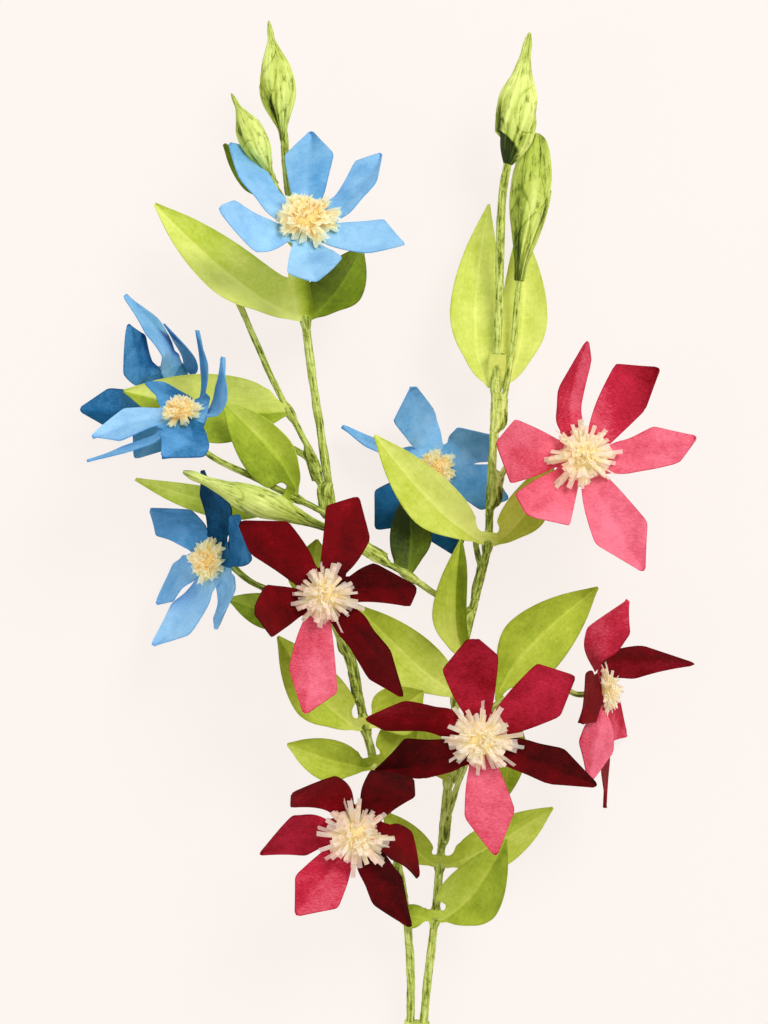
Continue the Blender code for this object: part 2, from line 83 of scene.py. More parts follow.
# A vector turned about an axis: Rodrigues' formula
def turned(vectors, axis, angle):
    axis = unit(axis)
    cosine, sine = math.cos(angle), math.sin(angle)
    return vectors * cosine + np.cross(axis, vectors) * sine + axis * along(vectors, axis) * (1 - cosine)


# A smooth line through given values: every span a cubic whose end slopes come from its neighbours
def smoothThrough(places, values, at):
    places = np.asarray(places, float)
    values = np.asarray(values, float)
    slopes = np.gradient(values, places)
    span = np.clip(np.searchsorted(places, at, side="right") - 1, 0, len(places) - 2)
    width = places[span + 1] - places[span]
    t = (at - places[span]) / width
    return ((2 * t**3 - 3 * t**2 + 1) * values[span] + (t**3 - 2 * t**2 + t) * width * slopes[span]
            + (3 * t**2 - 2 * t**3) * values[span + 1] + (t**3 - t**2) * width * slopes[span + 1])


# A smooth curve through a route's points, each span cut into steps of about one length
def smoothRoute(points, step=1.0):
    points = np.asarray(points, float)
    ends = np.vstack([2 * points[0] - points[1], points, 2 * points[-1] - points[-2]])
    spans = []
    for before, start, finish, after in zip(ends, ends[1:], ends[2:], ends[3:]):
        count = max(1, round(float(np.linalg.norm(finish - start)) / step))
        t = (np.arange(count) / count)[:, None]
        spans.append(0.5 * (2 * start + (finish - before) * t
                            + (2 * before - 5 * start + 4 * finish - after) * t * t
                            + (3 * start - before - 3 * finish + after) * t ** 3))
    return np.vstack(spans + [points[-1:]])


# The place on a fine route that lies nearest to a point: its index and the route's direction there
def nearestOn(route, point):
    index = 1 + int(np.argmin(np.linalg.norm(route[1:-1] - np.asarray(point, float), axis=1)))
    return index, unit(route[index + 1] - route[index - 1])


# The same curve read at even steps of its own length
def evenRoute(route, step):
    lengths = np.concatenate([[0.0], np.cumsum(np.linalg.norm(np.diff(route, axis=0), axis=1))])
    at = np.linspace(0.0, lengths[-1], max(4, round(lengths[-1] / step)))
    return np.stack([smoothThrough(lengths, route[:, axis], at) for axis in range(3)], axis=1), at


# A wavy field over an angle and a share of length: a sum of cosines with drawn turns and phases
def waves(draw, angle, share, turns, rises, count, power=1.0):
    total = np.zeros(np.broadcast(angle, share).shape)
    for _ in range(count):
        around = draw.integers(turns[0], turns[1] + 1)
        rise = draw.uniform(rises[0], rises[1]) * draw.choice([-1, 1])
        total += np.cos(around * angle + rise * math.tau * share + draw.uniform(0, math.tau)) / around**power
    return total / math.sqrt(count)


# A grid of rows and columns as one part of a piece. A wrapped grid joins its last column to its
# first. The pattern map holds millimetres along the rows and across the columns.
def gridPart(points, lengthwise, crosswise, marks, wrapped=False):
    rows, columns = points.shape[:2]
    row, column = np.meshgrid(np.arange(rows - 1), np.arange(columns - (not wrapped)), indexing="ij")
    beside = (column + 1) % columns
    faces = np.stack([row * columns + column, row * columns + beside,
                      (row + 1) * columns + beside, (row + 1) * columns + column], axis=-1).reshape(-1, 4)
    lengthwise = np.broadcast_to(lengthwise, (rows, columns))
    if wrapped:
        crosswise = np.broadcast_to(crosswise, (rows, columns + 1))
    else:
        crosswise = np.broadcast_to(crosswise, (rows, columns))
    corners = [(row, column), (row, column + 1), (row + 1, column + 1), (row + 1, column)]
    pattern = np.stack([np.stack([lengthwise[r, c % columns], crosswise[r, c]], axis=-1)
                        for r, c in corners], axis=2).reshape(-1, 2)
    values = {mark: np.broadcast_to(value, (rows, columns)).ravel() for mark, value in marks.items()}
    return {"points": points.reshape(-1, 3), "faces": faces, "pattern": pattern, "marks": values}


# A closed tube around a route: rings square to it, with a row of joined points at each end. The angle
# round each ring starts from the guide, by default the direction that lies furthest from the route's.
def tubePart(route, reach, lengths, marks=None, guide=None):
    tangents = unit(np.gradient(route, axis=0))
    if guide is None:
        guides = [[1, 0, 0], [0, 1, 0], [0, 0, 1], [1, 1, 0], [1, -1, 0], [1, 0, 1], [1, 0, -1], [0, 1, 1], [0, 1, -1]]
        guides = unit(guides)
        guide = guides[np.argmin(np.abs(guides @ tangents.T).max(axis=1))]
    first = squareTo(guide, tangents)
    second = np.cross(tangents, first)
    sides = reach.shape[1]
    angle = np.linspace(0, math.tau, sides, endpoint=False)
    ring = first[:, None] * np.cos(angle)[:, None] + second[:, None] * np.sin(angle)[:, None]
    points = route[:, None] + ring * reach[..., None]
    points = np.concatenate([points[:1] * 0 + route[0], points, points[-1:] * 0 + route[-1]])
    lengths = np.concatenate([lengths[:1], lengths, lengths[-1:]])[:, None]
    marks = {mark: np.concatenate([value[:1], value, value[-1:]]) for mark, value in (marks or {}).items()}
    return gridPart(points, lengths, np.linspace(0, 1, sides + 1), marks, wrapped=True)


# The frame's place of the maker's table: the middle of the right main stem's cut end against its table place
def tableShift():
    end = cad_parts["right_main_stem"].data
    corners = np.empty(len(end.vertices) * 3)
    end.vertices.foreach_get("co", corners)
    corners = corners.reshape(-1, 3) / mm
    cap = corners[corners[:, 1] < corners[:, 1].min() + 0.01]
    return (cap.min(axis=0) + cap.max(axis=0)) / 2 - np.array(mainRoutes["right_main_stem"][0])


# One visible piece from its parts: joined where points meet, thickened if it is a sheet, smooth
# but for its folds, riding on the one body, and standing for a solid of the frame
def makePiece(name, parts, finish, replaced=(), wall=0.0, foldAngle=50):
    offsets = np.cumsum([0] + [len(part["points"]) for part in parts[:-1]])
    points = np.vstack([part["points"] for part in parts])
    faces = np.vstack([part["faces"] + offset for part, offset in zip(parts, offsets)])
    mesh = bpy.data.meshes.new(name)
    mesh.from_pydata((points + shift) * mm, [], faces)
    pattern = np.vstack([part["pattern"] for part in parts])
    mesh.uv_layers.new(name="pattern").data.foreach_set("uv", pattern.astype(np.float32).ravel())
    for mark in parts[0]["marks"]:
        values = np.concatenate([part["marks"][mark] for part in parts])
        mesh.attributes.new(mark, "FLOAT", "POINT").data.foreach_set("value", values.astype(np.float32))
    work = bmesh.new()
    work.from_mesh(mesh)
    bmesh.ops.remove_doubles(work, verts=work.verts, dist=0.002 * mm)
    bmesh.ops.recalc_face_normals(work, faces=work.faces)
    work.to_mesh(mesh)
    work.free()
    item = bpy.data.objects.new(name, mesh)
    bpy.context.scene.collection.objects.link(item)
    if wall:
        shell = item.modifiers.new("wall", "SOLIDIFY")
        shell.thickness = wall * mm
        shell.offset = 0.0
        solid = bpy.data.meshes.new_from_object(item.evaluated_get(bpy.context.evaluated_depsgraph_get()))
        item.modifiers.clear()
        item.data = solid
    item.data.shade_smooth()
    item.data.set_sharp_from_angle(angle=math.radians(foldAngle))
    item.data.materials.clear()
    item.data.materials.append(finish)
    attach(item, "root")
    if replaced:
        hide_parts(*replaced)
    return item


# A number on its way between shader nodes: arithmetic on it adds Math nodes
class Flow:
    def __init__(self, recipe, socket):
        self.recipe = recipe
        self.socket = socket

    def worked(self, operation, first, second):
        return self.recipe.node("ShaderNodeMath", {"operation": operation}, {0: first, 1: second})

    def __add__(self, other):
        return self.worked("ADD", self, other)

    def __radd__(self, other):
        return self.worked("ADD", other, self)

    def __sub__(self, other):
        return self.worked("SUBTRACT", self, other)

    def __rsub__(self, other):
        return self.worked("SUBTRACT", other, self)

    def __mul__(self, other):
        return self.worked("MULTIPLY", self, other)

    def __rmul__(self, other):
        return self.worked("MULTIPLY", other, self)

    def fraction(self):
        return self.worked("FRACT", self, 0.0)

    # Zero below low, one above high, and eased between them
    def between(self, low, high):
        return self.recipe.node("ShaderNodeMapRange", {"interpolation_type": "SMOOTHSTEP"},
                                {"Value": self, "From Min": low, "From Max": high})


# Shader nodes under way: all of them are made by one method, and colours are given as 0 to 255
class Recipe:
    def __init__(self, tree):
        self.tree = tree

    def node(self, kind, settings, values, output=0):
        made = self.tree.nodes.new(kind)
        for key, value in settings.items():
            if key == "stops":
                self.setStops(made.color_ramp, value)
            else:
                setattr(made, key, value)
        for key, value in values.items():
            if isinstance(value, Flow):
                self.tree.links.new(value.socket, made.inputs[key])
            else:
                made.inputs[key].default_value = value
        return Flow(self, made.outputs[output])

    def setStops(self, ramp, stops):
        for _ in range(len(stops) - 2):
            ramp.elements.new(0.5)
        for element, (place, colour) in zip(ramp.elements, stops):
            element.position = place
            element.color = paint(colour)

    def ramp(self, factor, stops):
        return self.node("ShaderNodeValToRGB", {"stops": stops}, {"Fac": factor})

    def place(self, output="Object"):
        return self.node("ShaderNodeTexCoord", {}, {}, output)

    def stretched(self, where, scale, turn=0.0):
        return self.node("ShaderNodeMapping", {}, {"Vector": where, "Scale": scale, "Rotation": (0, 0, turn)})

    def noise(self, where, scale, detail=3.0, rough=0.5):
        return self.node("ShaderNodeTexNoise", {}, {"Vector": where, "Scale": scale, "Detail": detail,
                                                    "Roughness": rough}, "Fac")

    def mark(self, name):
        return self.node("ShaderNodeAttribute", {"attribute_name": name}, {}, "Fac")

    # The rays that see the plain background: the camera's own, and those that metal and glass pass on
    def pictureRays(self):
        camera = self.node("ShaderNodeLightPath", {}, {}, "Is Camera Ray")
        rays = camera.socket.node.outputs
        return camera + Flow(self, rays["Is Glossy Ray"]) + Flow(self, rays["Is Transmission Ray"])


# The nodes of one paper: a matt surface whose colour and bump are linked in at the end
class Paper(Recipe):
    def __init__(self, name, roughness, specular=0.25):
        self.material = bpy.data.materials.new(name)
        self.material.use_nodes = True
        super().__init__(self.material.node_tree)
        self.shader = self.tree.nodes["Principled BSDF"]
        self.shader.inputs["Roughness"].default_value = roughness
        self.shader.inputs["Specular IOR Level"].default_value = specular

    def finish(self, colour, height, depth, strength):
        self.tree.links.new(colour.socket, self.shader.inputs["Base Color"])
        bump = self.node("ShaderNodeBump", {}, {"Height": height, "Distance": depth * mm,
                                                "Strength": strength}, "Normal")
        self.tree.links.new(bump.socket, self.shader.inputs["Normal"])
        return self.material


# A colour read from a picture as 0 to 255, turned into the linear light that shaders use
def paint(colour):
    shares = [value / 255 for value in colour]
    linear = [share / 12.92 if share <= 0.04045 else ((share + 0.055) / 1.055) ** 2.4 for share in shares]
    return (*linear, 1.0)


# Handmade petal paper: each petal's tone, which holds its colour together with painted light and shade on that petal,
# cloudy dye, and short felted fibres
petalPaper = {
    "blue_petal": {
        "stops": [(0.0, (0, 56, 86)), (0.3, (36, 106, 156)), (0.6, (96, 164, 218)), (1.0, (166, 216, 253))],
        "cloud": 0.62, "fibre": 0.34,
    },
    "crimson_petal": {
        "stops": [(0.0, (58, 0, 0)), (0.32, (126, 2, 12)), (0.62, (198, 38, 64)), (1.0, (255, 130, 152))],
        "cloud": 0.5, "fibre": 0.52,
    },
}


def makePetalPaper(name, look):
    recipe = Paper(name, 0.8, 0.1)
    spot = recipe.place()
    cloud = recipe.noise(spot, 120.0, 5.0, 0.65)
    fibre = recipe.noise(recipe.stretched(spot, (1.0, 3.0, 1.0), 0.6), 900.0, 4.0, 0.7)
    grain = recipe.noise(spot, 3200.0, 2.0)
    tone = recipe.mark("tone") + (cloud - 0.5) * look["cloud"] + (fibre - 0.5) * look["fibre"]
    tone = tone + (grain - 0.5) * 0.08
    return recipe.finish(recipe.ramp(tone, look["stops"]), fibre + cloud + grain * 0.6, 0.2, 0.7)


# Cut fringe paper: warm at the root, pale at the cut ends, paler still on the outer strips
fringePaper = {
    "warm_fringe": [(0.0, (252, 158, 66)), (0.36, (255, 216, 130)), (0.7, (255, 248, 186)), (1.0, (255, 252, 218))],
    "pale_fringe": [(0.0, (250, 184, 128)), (0.36, (255, 234, 168)), (0.66, (255, 244, 206)), (1.0, (255, 216, 192))],
}


def makeFringePaper(name, stops):
    recipe = Paper(name, 0.85, 0.05)
    recipe.shader.inputs["Subsurface Weight"].default_value = 0.8
    recipe.shader.inputs["Subsurface Radius"].default_value = (1.0, 0.85, 0.7)
    recipe.shader.inputs["Subsurface Scale"].default_value = 4.0 * mm
    grain = recipe.noise(recipe.place(), 1500.0, 3.0)
    colour = recipe.ramp(recipe.mark("tone") + (grain - 0.5) * 0.12, stops)
    # painted glow: a faint emission in the strips' own colour stands in for the light that passes through the thin
    # strips, so they look a little brighter than their shading
    recipe.shader.inputs["Emission Strength"].default_value = 0.09
    recipe.tree.links.new(colour.socket, recipe.shader.inputs["Emission Color"])
    return recipe.finish(colour, grain, 0.05, 0.3)


# Green leaf paper: tone of each half, with painted light and shade on either side of the fold, fine lines that run
# slantwise from the midrib, pale fold
leafPaper = {
    "stops": [(0.0, (44, 60, 8)), (0.35, (130, 150, 18)), (0.65, (188, 204, 62)), (1.0, (236, 242, 128))],
    "lineScale": (0.08, 1.5, 1.0), "lineTurn": 0.35,
}


def makeLeafPaper():
    recipe = Paper("leafPaper", 0.7)
    spot = recipe.place()
    cloud = recipe.noise(spot, 110.0, 4.0, 0.6)
    slanted = recipe.stretched(recipe.place("UV"), leafPaper["lineScale"], leafPaper["lineTurn"])
    lines = recipe.noise(slanted, 1.0, 3.0)
    grain = recipe.noise(spot, 2600.0, 2.0)
    fibre = recipe.noise(spot, 700.0, 4.0, 0.7)
    tone = recipe.mark("tone") + (cloud - 0.5) * 0.5 + (lines - 0.5) * 0.16 + (fibre - 0.5) * 0.3
    tone = tone + (grain - 0.5) * 0.1
    return recipe.finish(recipe.ramp(tone, leafPaper["stops"]), lines * 0.6 + fibre + grain * 0.4, 0.15, 0.6)


# Wound paper tape: painted shade in a dark line under each turn's edge, stretched creases and blotchy dye
tapePaper = {
    "stops": [(0.0, (40, 48, 8)), (0.35, (108, 122, 30)), (0.62, (178, 192, 80)), (1.0, (226, 236, 138))],
    "pitch": 4.5,
}


def makeTapePaper(name, brighter=0.0):
    recipe = Paper(name, 0.82)
    pattern = recipe.node("ShaderNodeSeparateXYZ", {}, {"Vector": recipe.place("UV")})
    sideways = Flow(recipe, pattern.socket.node.outputs["Y"])
    turn = (pattern * (1 / tapePaper["pitch"]) + sideways).fraction()
    # painted shade: a dark line where each turn's edge steps down onto the tape below
    seam = 1.0 - turn.between(0.0, 0.12)
    spot = recipe.place()
    blotch = recipe.noise(spot, 260.0, 4.0, 0.65)
    crease = recipe.noise(recipe.stretched(recipe.place("UV"), (0.13, 9.0, 1.0), 0.1), 1.0, 4.0, 0.7)
    broad = recipe.noise(spot, 22.0, 1.0)
    tone = 0.6 + brighter + (blotch - 0.5) * 0.8 + (crease - 0.5) * 2.8 + (broad - 0.5) * 0.9 - seam * 0.12
    return recipe.finish(recipe.ramp(tone, tapePaper["stops"]), crease * 1.4 + blotch * 0.5 - seam * 0.5, 0.25, 0.8)


# Crumpled bud paper: painted shade in the folds, with fine drawn creases
budPaper = [(0.0, (44, 60, 8)), (0.3, (112, 130, 34)), (0.6, (186, 202, 82)), (1.0, (236, 248, 140))]


def makeBudPaper():
    recipe = Paper("budPaper", 0.72)
    spot = recipe.place()
    blotch = recipe.noise(spot, 240.0, 4.0, 0.6)
    crease = recipe.noise(recipe.stretched(recipe.place("UV"), (0.14, 20.0, 1.0), 0.04), 1.0, 5.0, 0.75)
    broad = recipe.noise(recipe.stretched(recipe.place("UV"), (0.1, 7.0, 1.0), 0.1), 1.0, 3.0, 0.6)
    # painted shade: dark lines in the crease noise's low parts, which the bump also sinks
    wrinkle = 1.0 - crease.between(0.34, 0.45)
    tone = recipe.mark("tone") + (blotch - 0.5) * 0.5 + (crease - 0.5) * 0.5 + (broad - 0.5) * 0.4 - wrinkle * 0.22
    return recipe.finish(recipe.ramp(tone, budPaper), crease * 1.5 + broad + blotch * 0.5 - wrinkle, 0.3, 0.9)


finishes = {slot: makePetalPaper(slot, look) for slot, look in petalPaper.items()}
finishes["pink_petal"] = finishes["crimson_petal"]
for slot, stops in fringePaper.items():
    finishes[slot] = makeFringePaper(slot, stops)
finishes["leaf"] = makeLeafPaper()
finishes["stem_wrap"] = makeTapePaper("stemTape")
finishes["binding"] = makeTapePaper("bindingTape", 0.06)
finishes["bud"] = makeBudPaper()
print("materials made:", len(finishes))

# The two main stems, from the cut end up to the top buds
mainRoutes = {
    "right_main_stem": [
        (11, -229, 2.2), (11, -216, 2.2), (12, -190, 5), (14, -163, 11), (17, -135, 18), (19, -112, 23),
        (21, -92, 26), (23, -69, 28), (26, -46, 29), (30, -29, 30), (34, -12, 30), (35, 4, 30),
        (36, 20, 30), (37, 42, 29), (38, 70, 28), (39, 103, 28), (41, 116, 28),
    ],
    "left_main_stem": [
        (7.2, -229, 2.2), (7.2, -216, 2.2), (8, -190, 5), (9, -163, 11), (8, -139, 17), (5, -119, 24),
        (0, -95, 28), (-4, -80, 30), (-7, -67, 31), (-11, -45, 32), (-14, -29, 32), (-16, -9, 31),
        (-18, 7, 30), (-21, 27, 30), (-24, 47, 30), (-26, 64, 30), (-28, 80, 28), (-30, 97, 27),
        (-32, 110, 27), (-33, 124, 28),
    ],
}

# Stems that carry no flower: the carrier, the place where each leaves it, and the rest of its way
plainRoutes = {
    "fork_stem": ("left_main_stem", (-18, 7, 30),
                  [(-22, 15, 30), (-28, 27, 29), (-36, 42, 29), (-44, 60, 28), (-50, 73, 26), (-57, 82, 24)]),
    "bud_2_stem": ("left_main_stem", (-30, 97, 27), [(-35, 105, 31), (-37, 111, 33)]),
    "bud_3_stem": ("right_main_stem", (28.5, -35, 30), [
        (23, -31, 32), (14, -25, 35), (5, -19, 37), (-3, -15, 38), (-11, -10, 38), (-19, -5, 39),
    ]),
    "bud_5_stem": ("right_main_stem", (37, 36, 29), [
        (41, 45, 28.5), (43, 57, 27), (44, 68, 24), (45, 78, 22),
    ]),
}

shift = tableShift()
print("table to frame in mm:", np.round(shift, 3))
stems = {}

# Wound tape on a stem: spacing of rings, tape step, lumps, and the sleeve where a side stem is bound on
stemLook = {"ringStep": 0.55, "sides": 14, "tapeStep": 0.06, "lumps": 0.08, "sleeveWall": 0.14}


# Reach of the tape round a stem: its radius, a ramp that drops once each turn, and slow lumps
def tapeReach(draw, lengths, radius, sides):
    angle = np.linspace(0, math.tau, sides, endpoint=False)[None]
    turn = (lengths[:, None] / tapePaper["pitch"] + angle / math.tau) % 1.0
    lumps = waves(draw, angle, lengths[:, None] / 20.0, (0, 2), (0.3, 2.2), 8, 0.0)
    return radius * (1.0 + stemLook["tapeStep"] * (turn - 0.5) + stemLook["lumps"] * np.clip(lumps, -1.2, 1.2))


# The tape bound round a carrier and the foot of a side stem: an oval that holds both, drawn in at its ends
def sleevePart(draw, carrier, leavesAt, side, sideRadius):
    route, radius = stems[carrier]
    index = nearestOn(route, leavesAt)[0]
    first = max(1, index - sizes["wrapLength"] - 2)
    rows = np.arange(first, index + 4)
    lower = route[rows]
    upper = side[np.clip(rows - first - 1, 0, len(side) - 1)]
    share = np.linspace(0, 1, len(rows))[:, None]
    closed = ease(share * 4) * ease((1 - share) * 4)
    centre = mix(lower, (lower + upper) / 2, closed)
    apart = np.linalg.norm(upper - lower, axis=1, keepdims=True) / 2
    wide = mix(radius, np.minimum(apart, radius + sideRadius) + sideRadius + 0.2, closed) + stemLook["sleeveWall"]
    narrow = radius + stemLook["sleeveWall"] * closed
    angle = np.linspace(0, math.tau, stemLook["sides"], endpoint=False)[None]
    reach = wide * narrow / np.sqrt((narrow * np.cos(angle)) ** 2 + (wide * np.sin(angle)) ** 2)
    lengths = np.arange(len(rows), dtype=float)
    ridge = (lengths[:, None] / 2.2 + angle / math.tau) % 1.0
    middle = len(rows) // 2
    return tubePart(centre, reach * (1 + 0.05 * ridge), lengths, {}, unit(upper[middle] - lower[middle]))


# A side stem first runs along its carrier, one clearance away, then leaves it
def sideRoute(carrier, leavesAt, onward):
    route, radius = stems[carrier]
    index, way = nearestOn(route, leavesAt)
    beside = squareTo(np.asarray(onward[0], float) - route[index], way)
    beside = beside * (radius + sizes["sideStem"] + sizes["clearance"])
    first = max(1, index - sizes["wrapLength"])
    places = [route[place] + beside for place in (first, (first + index) // 2, index)]
    return np.vstack(places + [np.asarray(onward, float)])


def makeStem(name, points, radius, bound=None):
    route = smoothRoute(points)
    stems[name] = (route, radius)
    draw = np.random.default_rng(sum(map(ord, name)))
    even, lengths = evenRoute(route, stemLook["ringStep"])
    parts = [tubePart(even, tapeReach(draw, lengths, radius, stemLook["sides"]), lengths)]
    if bound:
        parts.append(sleevePart(draw, bound[0], bound[1], route, radius))
    makePiece(name + "_taped", parts, finishes["stem_wrap"], [name])


for stemName, routePoints in mainRoutes.items():
    makeStem(stemName, routePoints, sizes["mainStem"])
for stemName, (carrier, leavesAt, onward) in plainRoutes.items():
    makeStem(stemName, sideRoute(carrier, leavesAt, onward), sizes["sideStem"], (carrier, leavesAt))
print("plain stems made:", len(stems))
